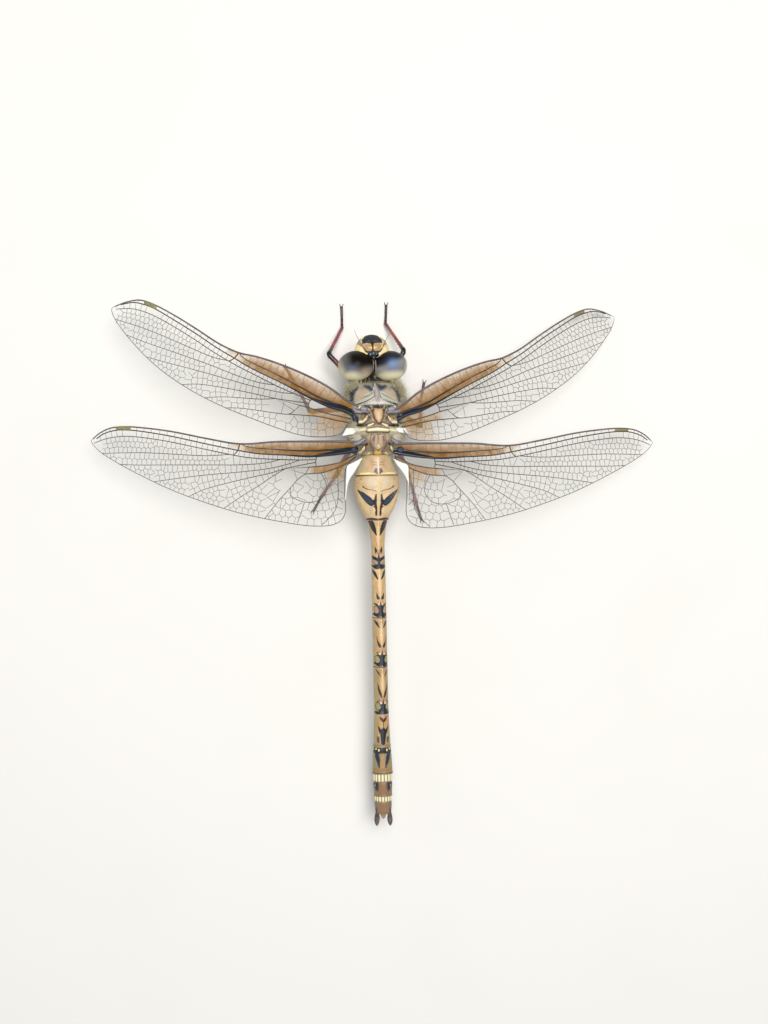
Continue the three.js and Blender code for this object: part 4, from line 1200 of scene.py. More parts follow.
thorax = {
    "sides": 128,
    "stations": [
        # y, half width, half height, middle z
        [
            0.1, 2.35, 2.5, 10.7,
        ],
        [1.4, 3.5, 3.7, 10.2], [3.4, 4.1, 4.4, 9.95], [5.8, 4.4, 4.6, 9.85], [7.8, 4.3, 4.35, 9.8],
        [9.2, 4.15, 4.0, 9.8], [10.1, 3.65, 3.25, 9.8], [10.6, 2.9, 2.5, 9.7],
    ],
    "square": 0.86,
    "backwards": 0.28,  # how far the sections tip backwards, as a share of their height, fading out in front
    "roll": 5.0,
    "boldness": 1.5,  # of the relief
    "shades": ("#a89f84", "#98916f", "#7f7a63"),
    # relief seen from above: (height in mm, width of its slope, brush strokes of [x, y, radius])
    "relief": [
        (0.16, 0.16, [[
            (0.03, 10.3, 0.05), (0.15, 9.95, 0.1), (0.22, 9.3, 0.14), (0.37, 8.65, 0.2), (0.45, 8.0, 0.36),
        ]]),
        (0.22, 0.2, [[
            (-1.35, 7.22, 0.1), (-0.4, 7.4, 0.2), (0.46, 7.5, 0.3), (1.3, 7.4, 0.2), (2.25, 7.15, 0.1),
        ]]),
        (-0.09, 0.1, [
            [(-0.3, 8.93, 0.05), (-1.06, 8.47, 0.05), (-1.96, 8.2, 0.04)],
            [(0.98, 8.9, 0.05), (1.54, 8.5, 0.05), (2.9, 7.75, 0.04)],
            [
                (0.0, 9.3, 0.04), (-0.02, 8.5, 0.04), (-0.3, 8.17, 0.05), (-1.08, 7.8, 0.05),
                (-2.8, 7.19, 0.07),
            ],
            [
                (0.68, 9.3, 0.04), (0.73, 8.66, 0.04), (0.9, 8.17, 0.05), (1.53, 7.78, 0.05),
                (3.2, 7.21, 0.07),
            ],
        ]),
        (-0.34, 0.3, [[
            (-2.7, 6.85, 0.08), (-1.2, 6.95, 0.12), (0.46, 7.02, 0.16), (2.0, 6.9, 0.12), (3.3, 6.8, 0.08),
        ]]),
        (-0.3, 0.4, [[(-1.7, 5.6, 0.3), (-0.9, 5.4, 0.2)], [(2.6, 5.5, 0.3), (1.7, 5.35, 0.2)]]),
        (-0.3, 0.35, [[(-2.6, 4.2, 0.15), (-1.2, 4.35, 0.1)], [(3.2, 4.1, 0.15), (1.9, 4.3, 0.1)]]),
        (-0.28, 0.3, [[(-1.2, 3.15, 0.1), (0.4, 3.1, 0.05), (1.9, 3.1, 0.1)]]),
        (-0.3, 0.35, [[(-2.3, 1.35, 0.2), (-1.4, 1.5, 0.15)], [(2.9, 1.3, 0.2), (2.1, 1.5, 0.15)]]),
        (0.42, 0.34, [[
            (0.45, 6.55, 0.72), (0.48, 6.1, 0.74), (0.52, 5.4, 0.6), (0.56, 4.85, 0.32), (0.57, 4.55, 0.1),
        ]]),
        (0.38, 0.26, [[(-1.62, 6.6, 0.42), (-1.45, 6.5, 0.35)], [(2.42, 6.52, 0.45), (2.2, 6.5, 0.35)]]),
        (0.24, 0.16, [
            [(-2.3, 6.8, 0.12), (-2.12, 6.98, 0.14), (-1.85, 7.0, 0.08)],
            [(3.05, 6.7, 0.12), (2.88, 6.88, 0.14), (2.6, 6.94, 0.08)],
        ]),
        (0.3, 0.2, [
            [(-3.15, 6.9, 0.12), (-2.74, 6.3, 0.2), (-2.0, 6.17, 0.2), (-0.85, 6.12, 0.12)],
            [(4.0, 6.85, 0.12), (3.6, 6.32, 0.2), (2.63, 6.08, 0.2), (1.75, 6.05, 0.12)],
        ]),
        (0.12, 0.12, [[(-0.37, 6.6, 0.13)], [(1.26, 6.62, 0.13)]]),
        (0.18, 0.14, [[(-0.95, 5.85, 0.06), (-0.48, 5.25, 0.07)], [(1.8, 5.79, 0.06), (1.33, 5.2, 0.07)]]),
        (0.34, 0.18, [
            [(-2.35, 4.75, 0.2), (-1.87, 4.78, 0.26), (-1.33, 5.15, 0.24), (-1.15, 5.6, 0.12)],
            [(3.1, 4.65, 0.2), (2.55, 4.7, 0.26), (2.15, 5.1, 0.24), (1.92, 5.45, 0.12)],
        ]),
        (0.16, 0.14, [[(-0.95, 4.2, 0.2), (-0.2, 4.5, 0.14)], [(1.7, 4.15, 0.2), (0.97, 4.48, 0.14)]]),
        (0.36, 0.2, [[(-1.0, 3.57, 0.24), (0.4, 3.66, 0.3), (1.8, 3.52, 0.24)]]),
        (0.16, 0.2, [[(-2.5, 3.55, 0.15), (-1.35, 3.7, 0.2)], [(2.95, 3.45, 0.15), (2.05, 3.6, 0.2)]]),
        (0.22, 0.35, [
            [(-0.15, 2.65, 0.5), (-0.2, 1.7, 0.55), (0.0, 0.95, 0.4)],
            [(0.92, 2.6, 0.5), (0.98, 1.65, 0.55), (0.65, 0.95, 0.4)],
        ]),
        (-0.08, 0.12, [[(-0.2, 2.74, 0.12), (-0.4, 2.05, 0.12)], [(1.18, 2.6, 0.12), (1.25, 2.0, 0.12)]]),
        (0.26, 0.2, [
            [(-4.1, 1.95, 0.14), (-3.32, 1.6, 0.22), (-2.4, 1.8, 0.24), (-1.55, 2.3, 0.16)],
            [(4.7, 1.75, 0.14), (3.84, 1.52, 0.22), (3.05, 1.75, 0.24), (2.35, 2.2, 0.16)],
        ]),
        (0.34, 0.18, [
            [(-2.6, 0.4, 0.2), (-2.1, 0.6, 0.24), (-1.7, 0.98, 0.22), (-1.62, 1.35, 0.1)],
            [(3.05, 0.35, 0.2), (2.6, 0.6, 0.24), (2.26, 1.0, 0.22), (2.15, 1.35, 0.1)],
        ]),
        (0.2, 0.14, [[(-0.02, 0.38, 0.26), (0.58, 0.36, 0.26)]]),
        (0.07, 0.06, [
            [(-0.35, 1.25, 0.05), (0.5, 0.65, 0.06), (1.3, 0.1, 0.05)],
            [(1.0, 1.2, 0.05), (0.1, 0.65, 0.06), (-0.5, 0.05, 0.05)],
        ]),
    ],
    # marks seen from above, in the order they are laid: name: (colour, soft edge, strokes of [x, y, radius])
    "marks": {
        "grey": ("#9c958a", 0.5, [[(-2.2, 7.6, 0.8), (0.4, 8.6, 1.4), (3.0, 7.6, 0.8)]]),
        "dawn": ("#8f8780", 0.3, [
            [(-1.7, 9.6, 0.35), (-1.2, 9.9, 0.2)], [(2.2, 9.5, 0.35), (1.8, 9.85, 0.2)],
        ]),
        "peach": ("#b0987b", 0.22, [
            [(-2.45, 8.1, 0.35), (-2.0, 8.7, 0.42), (-1.1, 9.0, 0.25)],
            [(3.0, 7.9, 0.15), (2.5, 8.6, 0.42), (1.8, 8.95, 0.3)],
        ]),
        "smudge": ("#2c3742", 0.26, [
            [(-1.45, 9.95, 0.15), (-0.85, 9.75, 0.34), (-0.4, 9.3, 0.26)],
            [(0.6, 9.9, 0.3), (0.95, 9.6, 0.4), (1.5, 9.8, 0.26)], [(-0.25, 10.3, 0.1), (-0.2, 9.7, 0.08)],
            [(0.3, 10.3, 0.12), (0.45, 9.8, 0.08)],
        ]),
        "band": ("#343a41", 0.24, [
            [(-2.4, 9.75, 0.18), (-3.0, 9.2, 0.32), (-3.25, 8.55, 0.38), (-3.3, 7.85, 0.3)],
            [(2.5, 9.8, 0.14), (3.05, 9.2, 0.22), (3.35, 8.55, 0.24), (3.55, 7.75, 0.16)],
        ]),
        "stripe": ("#aaaa92", 0.06, [
            [(-0.17, 8.62, 0.13), (-0.6, 8.25, 0.2), (-1.5, 7.85, 0.2), (-2.7, 7.5, 0.12)],
            [(0.9, 8.6, 0.13), (1.25, 8.3, 0.2), (2.1, 7.9, 0.2), (3.25, 7.5, 0.12)],
        ]),
        "white": ("#cfcbc2", 0.1, [
            [(-1.3, 7.3, 0.08), (-0.5, 7.52, 0.28), (0.0, 7.85, 0.36)],
            [(-0.7, 7.34, 0.16), (0.46, 7.45, 0.36), (1.6, 7.34, 0.16)],
            [(2.1, 7.28, 0.08), (1.4, 7.52, 0.28), (0.9, 7.85, 0.34)],
            [(0.03, 10.32, 0.07), (-0.06, 10.0, 0.05), (-0.1, 9.3, 0.03)],
            [(0.03, 10.32, 0.07), (0.2, 10.0, 0.05), (0.3, 9.6, 0.02)],
            [(-0.25, 9.1, 0.03), (-0.7, 8.85, 0.03), (-1.6, 8.45, 0.02)],
            [(0.85, 9.02, 0.03), (1.4, 8.75, 0.03), (2.9, 8.0, 0.02)],
            [(-2.9, 7.3, 0.05), (-2.3, 7.28, 0.04)],
        ]),
        "keel": ("#aea1a0", 0.12, [[
            (0.12, 10.0, 0.08), (0.22, 9.3, 0.14), (0.38, 8.6, 0.2), (0.46, 8.0, 0.32), (0.46, 7.7, 0.3),
        ]]),
        "ribs": ("#857a7c", 0.05, [
            [(0.3, 9.0, 0.02), (0.35, 8.2, 0.04), (0.33, 7.8, 0.02)], [(0.5, 8.5, 0.02), (0.58, 8.0, 0.03)],
        ]),
        "wire": ("#23272c", 0.035, [
            [(-0.32, 8.93, 0.03), (-1.06, 8.47, 0.05), (-1.96, 8.2, 0.03)],
            [(0.98, 8.9, 0.04), (1.54, 8.5, 0.05), (2.35, 8.14, 0.04), (2.9, 7.72, 0.02)],
            [
                (0.02, 9.3, 0.03), (0.0, 8.5, 0.05), (-0.2, 8.2, 0.055), (-1.0, 7.82, 0.06),
                (-2.0, 7.43, 0.08), (-2.8, 7.19, 0.1),
            ],
            [
                (0.66, 9.3, 0.03), (0.72, 8.66, 0.05), (0.9, 8.2, 0.055), (1.5, 7.8, 0.06),
                (2.45, 7.45, 0.1), (3.2, 7.23, 0.14),
            ],
            [(-0.1, 10.1, 0.05), (-0.12, 9.7, 0.02)], [(0.24, 10.15, 0.06), (0.4, 9.8, 0.04)],
            [(-0.5, 7.75, 0.02), (-0.45, 7.6, 0.05)], [(1.25, 7.7, 0.02), (1.3, 7.62, 0.05)],
        ]),
        "between": ("#85705a", 0.3, [
            [(-2.6, 5.6, 0.9), (0.4, 5.2, 1.2), (3.2, 5.4, 0.9)],
            [(-2.6, 2.0, 1.0), (0.4, 1.6, 1.4), (3.2, 1.8, 1.0)],
        ]),
        "fawn": ("#b39a7c", 0.3, [
            [(-0.7, 2.5, 0.4), (0.4, 2.3, 0.7), (1.6, 2.5, 0.4)], [(0.4, 1.5, 0.6), (0.4, 0.9, 0.4)],
        ]),
        "haze": ("#c3bca9", 0.2, [
            [(-3.7, 2.6, 0.5), (-2.4, 2.6, 0.4)], [(4.1, 2.6, 0.5), (2.9, 2.6, 0.4)],
            [(-2.3, 0.0, 0.3), (-3.0, -0.3, 0.3)], [(2.8, 0.0, 0.3), (3.4, -0.3, 0.3)],
        ]),
        "lilac": ("#9b98a2", 0.1, [
            [(-3.15, 6.9, 0.1), (-2.74, 6.3, 0.2), (-2.0, 6.17, 0.2), (-0.85, 6.12, 0.1)],
            [(4.0, 6.85, 0.1), (3.6, 6.32, 0.2), (2.63, 6.08, 0.2), (1.75, 6.05, 0.1)],
            [(-1.62, 6.6, 0.42), (-1.3, 6.45, 0.3)], [(2.42, 6.52, 0.45), (2.1, 6.45, 0.3)],
            [(-4.1, 1.95, 0.14), (-3.32, 1.6, 0.28), (-2.4, 1.8, 0.34), (-1.55, 2.2, 0.24)],
            [(4.7, 1.75, 0.14), (3.84, 1.52, 0.28), (3.05, 1.75, 0.34), (2.35, 2.15, 0.24)],
        ]),
        # painted shadow: near black in the hollows behind the crest and between the plates
        "hollowShade": ("#1f2126", 0.09, [
            [(-2.6, 7.0, 0.03), (-1.6, 7.08, 0.07), (-0.8, 6.9, 0.16), (-0.45, 6.35, 0.1)],
            [(3.35, 6.95, 0.03), (2.3, 7.03, 0.07), (1.6, 6.85, 0.16), (1.3, 6.3, 0.1)],
            [(-0.25, 7.0, 0.09), (0.46, 7.0, 0.14), (1.15, 6.98, 0.09)],
            [(-0.5, 5.6, 0.05), (-0.75, 5.42, 0.17)], [(1.42, 5.6, 0.05), (1.6, 5.37, 0.17)],
            [(-2.55, 4.35, 0.13), (-1.9, 4.25, 0.16), (-1.2, 4.3, 0.1)],
            [(3.3, 4.25, 0.13), (2.6, 4.2, 0.16), (1.95, 4.25, 0.1)],
            [(-1.2, 1.66, 0.15), (-1.5, 1.4, 0.05)], [(1.86, 1.74, 0.13), (2.1, 1.5, 0.05)],
            [(-1.9, 2.75, 0.09)],
        ]),
        "tan": ("#bd9468", 0.12, [[
            (0.46, 6.4, 0.62), (0.5, 5.9, 0.62), (0.54, 5.2, 0.52), (0.57, 4.6, 0.08),
        ]]),
        "cream": ("#cbb18b", 0.2, [[(0.48, 6.0, 0.2), (0.52, 5.3, 0.26), (0.57, 4.75, 0.1)]]),
        "scorch": ("#3b231c", 0.16, [
            [(-0.1, 6.75, 0.16), (0.46, 6.8, 0.34), (1.0, 6.75, 0.16)], [(-0.2, 6.4, 0.12)],
            [(1.15, 6.4, 0.12)],
        ]),
        "plum": ("#75605a", 0.16, [
            [(-0.15, 2.6, 0.2), (-0.3, 2.1, 0.22)], [(1.15, 2.55, 0.18), (1.22, 2.1, 0.2)],
            [(-0.95, 4.95, 0.2), (-0.6, 4.7, 0.12)], [(1.65, 4.9, 0.2), (1.35, 4.65, 0.12)],
            [(-1.3, 5.95, 0.12), (-0.9, 6.0, 0.1)],
        ]),
        "rose": ("#b89d7e", 0.14, [
            [(-0.37, 6.6, 0.13)], [(1.26, 6.62, 0.13)],
            [(-0.95, 5.85, 0.05), (-0.48, 5.25, 0.06), (-0.1, 4.9, 0.05)],
            [(1.8, 5.79, 0.05), (1.33, 5.2, 0.06), (1.15, 5.0, 0.05)],
            [(0.37, 2.6, 0.34), (0.4, 1.6, 0.5), (0.3, 0.9, 0.34)], [(-0.75, 2.8, 0.12), (-0.8, 2.3, 0.1)],
            [(1.6, 2.8, 0.12), (1.62, 2.3, 0.1)],
        ]),
        "ivory": ("#e9d9ae", 0.08, [
            [(-2.25, 4.8, 0.28), (-1.8, 4.85, 0.34), (-1.35, 5.2, 0.28), (-1.12, 5.55, 0.14)],
            [(3.0, 4.75, 0.28), (2.5, 4.8, 0.34), (2.15, 5.15, 0.28), (1.92, 5.45, 0.14)],
            [(0.32, 1.5, 0.08), (0.46, 1.25, 0.12)],
            [(-2.6, 0.4, 0.16), (-2.1, 0.6, 0.22), (-1.7, 0.98, 0.2), (-1.62, 1.35, 0.1)],
            [(3.05, 0.35, 0.16), (2.6, 0.6, 0.22), (2.26, 1.0, 0.2), (2.15, 1.35, 0.1)],
            [(-2.3, 6.8, 0.1), (-2.12, 6.98, 0.13), (-1.85, 7.0, 0.06)],
            [(3.05, 6.7, 0.1), (2.88, 6.88, 0.13), (2.6, 6.94, 0.06)],
            [(-0.95, 4.2, 0.14), (-0.25, 4.48, 0.1)], [(1.7, 4.15, 0.14), (1.0, 4.46, 0.1)],
            [(-1.55, 0.0, 0.1), (-0.9, 0.4, 0.12)], [(2.0, 0.0, 0.1), (1.4, 0.4, 0.12)],
        ]),
        "amber": ("#9a7440", 0.12, [
            [(-1.8, 5.0, 0.16), (-1.6, 5.2, 0.12)], [(2.3, 4.95, 0.14), (2.5, 4.82, 0.1)],
            [(-2.0, 0.75, 0.1)], [(2.45, 0.85, 0.1)], [(-1.3, 5.5, 0.1)], [(2.05, 5.45, 0.1)],
        ]),
        "milk": ("#eceae2", 0.1, [
            [(-2.45, 3.72, 0.2), (-3.3, 3.62, 0.34), (-4.0, 3.4, 0.4), (-4.5, 3.1, 0.3)],
            [(3.1, 3.68, 0.2), (3.8, 3.6, 0.34), (4.4, 3.5, 0.36)],
        ]),
        "lemon": ("#e4d8b2", 0.09, [
            [(-0.95, 3.53, 0.28), (0.4, 3.6, 0.34), (1.75, 3.48, 0.28)], [(0.32, 3.95, 0.1)],
        ]),
        "straw": ("#e8deb4", 0.16, [
            [(-2.5, 3.55, 0.22), (-1.5, 3.7, 0.22)], [(2.95, 3.45, 0.22), (2.15, 3.6, 0.22)],
        ]),
        "navy": ("#1d2836", 0.08, [
            [(-3.2, 6.1, 0.16), (-2.95, 5.75, 0.24), (-2.65, 5.3, 0.34), (-2.45, 4.7, 0.14)],
            [(3.95, 6.1, 0.16), (3.75, 5.8, 0.24), (3.5, 5.35, 0.34), (3.25, 4.65, 0.14)],
            [(-3.7, 1.1, 0.16), (-3.1, 0.75, 0.32), (-2.8, 0.1, 0.12)],
            [(3.3, 1.2, 0.14), (3.55, 0.75, 0.33), (3.25, 0.05, 0.12)],
        ]),
        "seam": ("#2f2823", 0.04, [
            [(-1.1, 4.45, 0.03), (-0.6, 4.62, 0.04), (-0.1, 4.72, 0.05), (0.2, 4.25, 0.05)],
            [(1.85, 4.4, 0.03), (1.4, 4.6, 0.04), (1.0, 4.7, 0.05), (0.78, 4.25, 0.05)],
            [(-0.3, 4.2, 0.04), (0.1, 4.0, 0.04)], [(1.05, 4.2, 0.04), (0.65, 4.0, 0.04)],
            [(0.3, 3.22, 0.03), (0.3, 2.98, 0.1), (0.3, 2.8, 0.02)],
            [(-1.15, 3.2, 0.03), (0.3, 3.24, 0.03), (1.9, 3.14, 0.03)],
            [(-0.3, 1.22, 0.04), (0.5, 0.6, 0.05), (1.4, 0.0, 0.04)],
            [(0.95, 1.15, 0.03), (0.1, 0.6, 0.04), (-0.6, 0.0, 0.04)],
            [(-0.3, -0.06, 0.03), (0.26, -0.12, 0.07), (0.8, -0.08, 0.03)],
            [(-1.0, 2.9, 0.02), (-1.05, 1.9, 0.03)], [(1.8, 2.9, 0.02), (1.8, 1.9, 0.03)],
            [(0.38, 2.8, 0.05), (0.4, 1.8, 0.02)],
        ]),
        "gold": ("#e0bd49", 0.09, [[(-0.02, 0.4, 0.26), (0.58, 0.38, 0.26)]]),
    },
    # the sutures down each side: brush strokes of [y, z, radius]
    "sutures": [
        [(7.3, 13.4, 0.05), (7.0, 11.5, 0.05), (7.4, 9.0, 0.05), (7.0, 6.6, 0.07)],
        [(4.9, 13.3, 0.07), (4.5, 11.5, 0.05), (4.6, 9.5, 0.05), (4.1, 6.3, 0.06)],
        [(2.6, 12.9, 0.06), (2.3, 11.0, 0.04), (2.2, 9.0, 0.04), (1.9, 7.2, 0.05)],
    ],
    "pale": [
        [(8.3, 13.0, 0.25), (8.4, 11.0, 0.32), (8.5, 8.0, 0.25)],
        [(5.9, 12.8, 0.3), (5.7, 10.0, 0.35), (5.6, 7.0, 0.3)],
        [(3.4, 12.6, 0.25), (3.3, 10.0, 0.32), (3.0, 7.4, 0.25)],
    ],
}


def makeThorax():
    size = through(thorax["stations"])
    front = thorax["stations"][-1][0]
    rows = [front, front - 0.05, *np.linspace(front - 0.15, 0.3, 61), 0.14, 0.1]
    rings = []
    for i, y in enumerate(rows):
        wide, high, middleZ = size(y)
        close = {0: 0.55, 1: 0.82, len(rows) - 2: 0.9, len(rows) - 1: 0.62}.get(i, 1)
        rings.append(((0, y, middleZ), wide * close, high * close))
    piece = smoother(loft("thorax_skin", rings, thorax["sides"]))
    points = coords(piece)
    y = points[:, 1].copy()
    dense = np.linspace(0.1, front, 300)
    sizes = np.array([size(v) for v in dense])
    wide, high, middleZ = (np.interp(y, dense, sizes[:, k]) for k in range(3))
    across, up = points[:, 0] / wide, (points[:, 2] - middleZ) / high
    radius = np.maximum(np.hypot(across, up), 1e-6)
    power = thorax["square"]
    unitX, unitZ = across / radius, up / radius
    bent = np.stack([np.sign(unitX) * np.abs(unitX) ** power, np.sign(unitZ) * np.abs(unitZ) ** power])
    points[:, 0] = bent[0] * radius * wide
    points[:, 2] = middleZ + bent[1] * radius * high
    # the roll, then the backward tip of the sections
    rollOver(points, middleZ, math.radians(thorax["roll"]))
    tip = thorax["backwards"] * np.clip((y - 0.1) / 4, 0, 1) * (1 - ease(y, 6.5, 10))
    points[:, 1] = y - tip * (points[:, 2] - middleZ)
    # relief, only on the upper face
    top = ease(unitZ, 0.1, 0.5)
    lift = np.zeros(len(points))
    creviceShade = np.zeros(len(points))
    for height, slope, strokes in thorax["relief"]:
        away = outside(points[:, 0], points[:, 1], strokes)
        lift += height * thorax["boldness"] * ease(-away, -slope * 0.5, slope * 0.5)
        # painted shade: a dark band runs round each raised plate, in the crevice at its foot
        if height > 0.1:
            creviceShade *= ease(away, -0.12, 0.02)
            creviceShade = np.maximum(creviceShade, np.exp(-((away - 0.05) / 0.1) ** 2) * clamp(height / 0.3))
    slant = ease(y, 9.2, 10.4)
    points[:, 2] += lift * top * (1 - 0.4 * slant)
    points[:, 1] += lift * top * 0.5 * slant
    flank = outside(points[:, 1], points[:, 2], thorax["sutures"])
    beside = ease(np.abs(unitX), 0.5, 0.8)
    points[:, 0] -= np.sign(points[:, 0]) * 0.08 * ease(-flank, -0.12, 0.0) * beside
    mould(piece, points)
    below = 3 * (1 - ease(unitZ, 0.05, 0.3))  # keeps the marks of the back off the sides
    for mark, (_, _, strokes) in thorax["marks"].items():
        keepNumbers(piece, mark, outside(points[:, 0], points[:, 1], strokes) + below)
    keepNumbers(piece, "suture", flank + 3 * (1 - beside))
    keepNumbers(piece, "paleBand", outside(points[:, 1], points[:, 2], thorax["pale"]) + 3 * (1 - beside))
    keepNumbers(piece, "around", 1 - unitZ)
    keepNumbers(piece, "creviceShade", creviceShade * top * ease(-points[:, 1], -7.4, -6.9))
    # thorax wall, hard cuticle under a bloom of fine wax: nearly matt, mottled, with crisp dark seams and
    # painted shade in the crevices round its plates
    cuticle, tree, shader = newMaterial("waxyCuticle", Roughness=0.5, IOR=1.54, Specular_IOR_Level=0.4)
    around = addNode(tree, "Attribute", attribute_name="around").outputs["Fac"]
    colour, side, belly = thorax["shades"]
    for shade, low, high in ((side, 0.3, 0.9), (belly, 1.1, 1.9)):
        share = addNode(tree, "MapRange", {"Value": around, 1: low, 2: high})
        colour = stain(tree, share.outputs[0], colour, shade)
    colour = clouds(tree, colour, "#857a62", 0.8, -0.1, 0.22, 0.3, 4)
    colour = layMark(tree, colour, "paleBand", "#c9c49f", 0.3, 0.5, 0.75)
    colour = layMarks(tree, colour, thorax["marks"], 0.06, 0.3)
    # painted shade: near black in the crevices round the raised plates, broken up a little by noise
    gap = addNode(tree, "Attribute", attribute_name="creviceShade").outputs["Fac"]
    shadeMottled = addNode(tree, "Math", {0: mottle(tree, 0.5), 1: 0.8, 2: gap}, operation="MULTIPLY_ADD")
    paintedShade = addNode(tree, "MapRange", {"Value": shadeMottled, 1: 0.35, 2: 1.0, 4: 0.85})
    colour = stain(tree, paintedShade.outputs[0], colour, "#2a211d")
    colour = layMark(tree, colour, "suture", "#3a332a", 0.05, 0.1, 0.85)
    colour = clouds(tree, colour, "#4b3d33", 0.14, 0.06, 0.2, 0.22)  # freckles
    tree.links.new(colour, shader.inputs["Base Color"])
    roughen(tree, shader, 0.1, 0.05, 0.6, 3)
    settle(piece, cuticle, ["thorax"])


makeThorax()


def makeNeck():
    # the small first ring of the chest, mostly hidden behind the head, with a raised rear lobe
    rows = [
        (10.4, 1.5, 1.7, 9.5), (10.45, 1.95, 2.1, 9.4), (10.7, 2.3, 2.4, 9.4), (10.85, 1.9, 2.0, 9.4),
        (11.0, 2.1, 2.2, 9.4), (11.2, 1.9, 2.05, 9.45), (11.4, 1.3, 1.5, 9.6), (11.55, 1.15, 1.3, 9.7),
    ]
    piece = smoother(loft("prothorax_skin", [((0.12, y, z), wide, high) for y, wide, high, z in rows], 48))
    # neck cuticle: the same waxed wall, greyer, with painted shadow, almost black, in the gap behind the
    # head
    cuticle, tree, shader = newMaterial("waxyCuticleGrey", Roughness=0.55, IOR=1.54, Specular_IOR_Level=0.35)
    where = addNode(tree, "Attribute", attribute_name="place").outputs["Vector"]
    height = addNode(tree, "SeparateXYZ", {0: where})
    feeds = {0: mottle(tree, 0.6), 1: 0.3, 2: height.outputs[1]}
    gap = addNode(tree, "Math", feeds, operation="MULTIPLY_ADD")
    # painted shadow of the head: the neck darkens to near black towards it
    share = addNode(tree, "MapRange", {"Value": gap, 1: 10.65, 2: 10.85}).outputs[0]
    tree.links.new(stain(tree, share, "#6f6b5c", "#1d1b18"), shader.inputs["Base Color"])
    settle(piece, cuticle, ["prothorax"])


makeNeck()

wingRoots = {
    # the dark knobs that the main veins spring from: middle, half sizes, turn in degrees
    "knobs": {
        "fore_left": ((-2.85, 5.35, 13.3), (0.42, 0.8, 0.36), 22),
        "fore_right": ((3.55, 5.35, 13.2), (0.42, 0.8, 0.36), -20),
        "hind_left": ((-3.05, 0.78, 13.0), (0.5, 0.5, 0.34), 40),
        "hind_right": ((3.5, 0.78, 12.95), (0.5, 0.5, 0.34), -40),
    },
    # the soft white webs behind the forewings: corners on x and y
    "webs": {
        "left": [(-2.1, 3.95), (-4.1, 4.0), (-4.75, 2.9), (-2.5, 3.25)],
        "right": [(2.9, 3.88), (4.9, 3.95), (5.1, 3.0), (3.3, 3.25)],
    },
    "webHeight": 13.35,
}


def makeWingRoots():
    # knob cuticle, thick and hard: blue-black with a dull polish, scored by fine creases
    knob = cloudedMaterial(
        "knobCuticleBlueBlack", "#18202b", "#3b4a5c", 0.5, relief=(0.3, 0.12, 0.8, 3), detail=4,
        Roughness=0.4, IOR=1.54, Specular_IOR_Level=0.4,
    )
    for name, (middle, size, turn) in wingRoots["knobs"].items():
        piece = ball(f"knob_{name}", middle, size, 20, 28)
        points = coords(piece)
        away = (points - np.array(middle)) / np.array(size)
        # a waist across the knob, where it bends with the wing
        points[:, 2] -= 0.08 * np.exp(-((away[:, 1] - 0.15) / 0.18) ** 2) * ease(away[:, 2], 0, 0.6)
        mould(piece, points)
        there, back = Matrix.Translation(middle), Matrix.Translation([-v for v in middle])
        turned = there @ Matrix.Rotation(math.radians(turn), 4, "Z") @ back
        settle(piece, knob, turn=turned)
    # joint web, a soft white skin without pigment: matt like kid leather, with a few fine wrinkles
    web = cloudedMaterial(
        "jointWebWhite", "#efede6", "#c9c5b8", 0.7, -0.1, 0.25, 0.5, detail=3, Roughness=0.62, IOR=1.45,
    )
    for side, (a, b, c, d) in wingRoots["webs"].items():
        def corner(along, across):
            x, y = between((a, b), (d, c), along, across)
            return x, y, wingRoots["webHeight"] - 0.35 * along + 0.08 * math.sin(across * math.pi)

        sheet, _ = makeSheet(f"web_{side}", 12, 6, corner)
        thicken(sheet, 0.1)
        settle(sheet, web)


makeWingRoots()
print("thorax ready")


# Places on the head are given before it is turned on its neck.
head = {
    "turn": 2.5, "tilt": 8, "neck": (-0.28, 11.6, 10.5),
    # the right eye lies this much further back than the left one
    "eye": {
        "middle": (2.42, 13.08, 11.45), "right": -0.24, "size": (2.56, 2.14, 3.1), "gap": 0.07,
        "facet": 0.11,
    },
    # the pigment of each eye and a painted reflection of the sky on it, in shares of its half size outwards
    # and forwards from its middle.
    # dark: how it slants, its shift, where it begins and is full, its power, and how it fades outwards
    # blue, a painted reflection of the sky, and rosy: place, half width, strength
    "eyeColours": {
        "eye_left": {
            "dark": (0, 0, -0.62, 0.14, 1.55, 0.55, 0.22, 0.85), "brown": 0.8, "inner": 0.18,
            "strawFrom": 0.66, "skyReflection": ((0.36, -0.26), (0.24, 0.22), 0.3),
            "rosy": ((-0.45, -0.5), (0.4, 0.3), 0.75),
        },
        "eye_right": {
            "dark": (0.45, 0.2, -0.32, 0.2, 1.5, 0.5, 0.5, 0.95), "brown": 0.3, "inner": 0,
            "strawFrom": 0.7, "skyReflection": ((0.03, -0.04), (0.3, 0.38), 0.9),
            "rosy": ((-0.45, -0.5), (0.4, 0.3), 0.15),
        },
    },
}
neck = Vector(head["neck"])
headTurn = (
    Matrix.Translation(neck) @ Matrix.Rotation(math.radians(head["turn"]), 4, "Z")
    @ Matrix.Rotation(math.radians(head["tilt"]), 4, "Y") @ Matrix.Translation((0, -neck.y, -neck.z))
)


def glow(out, fore, place, wide, strength):
    # a soft round bloom
    return strength * np.exp(-(((out - place[0]) / wide[0]) ** 2 + ((fore - place[1]) / wide[1]) ** 2))


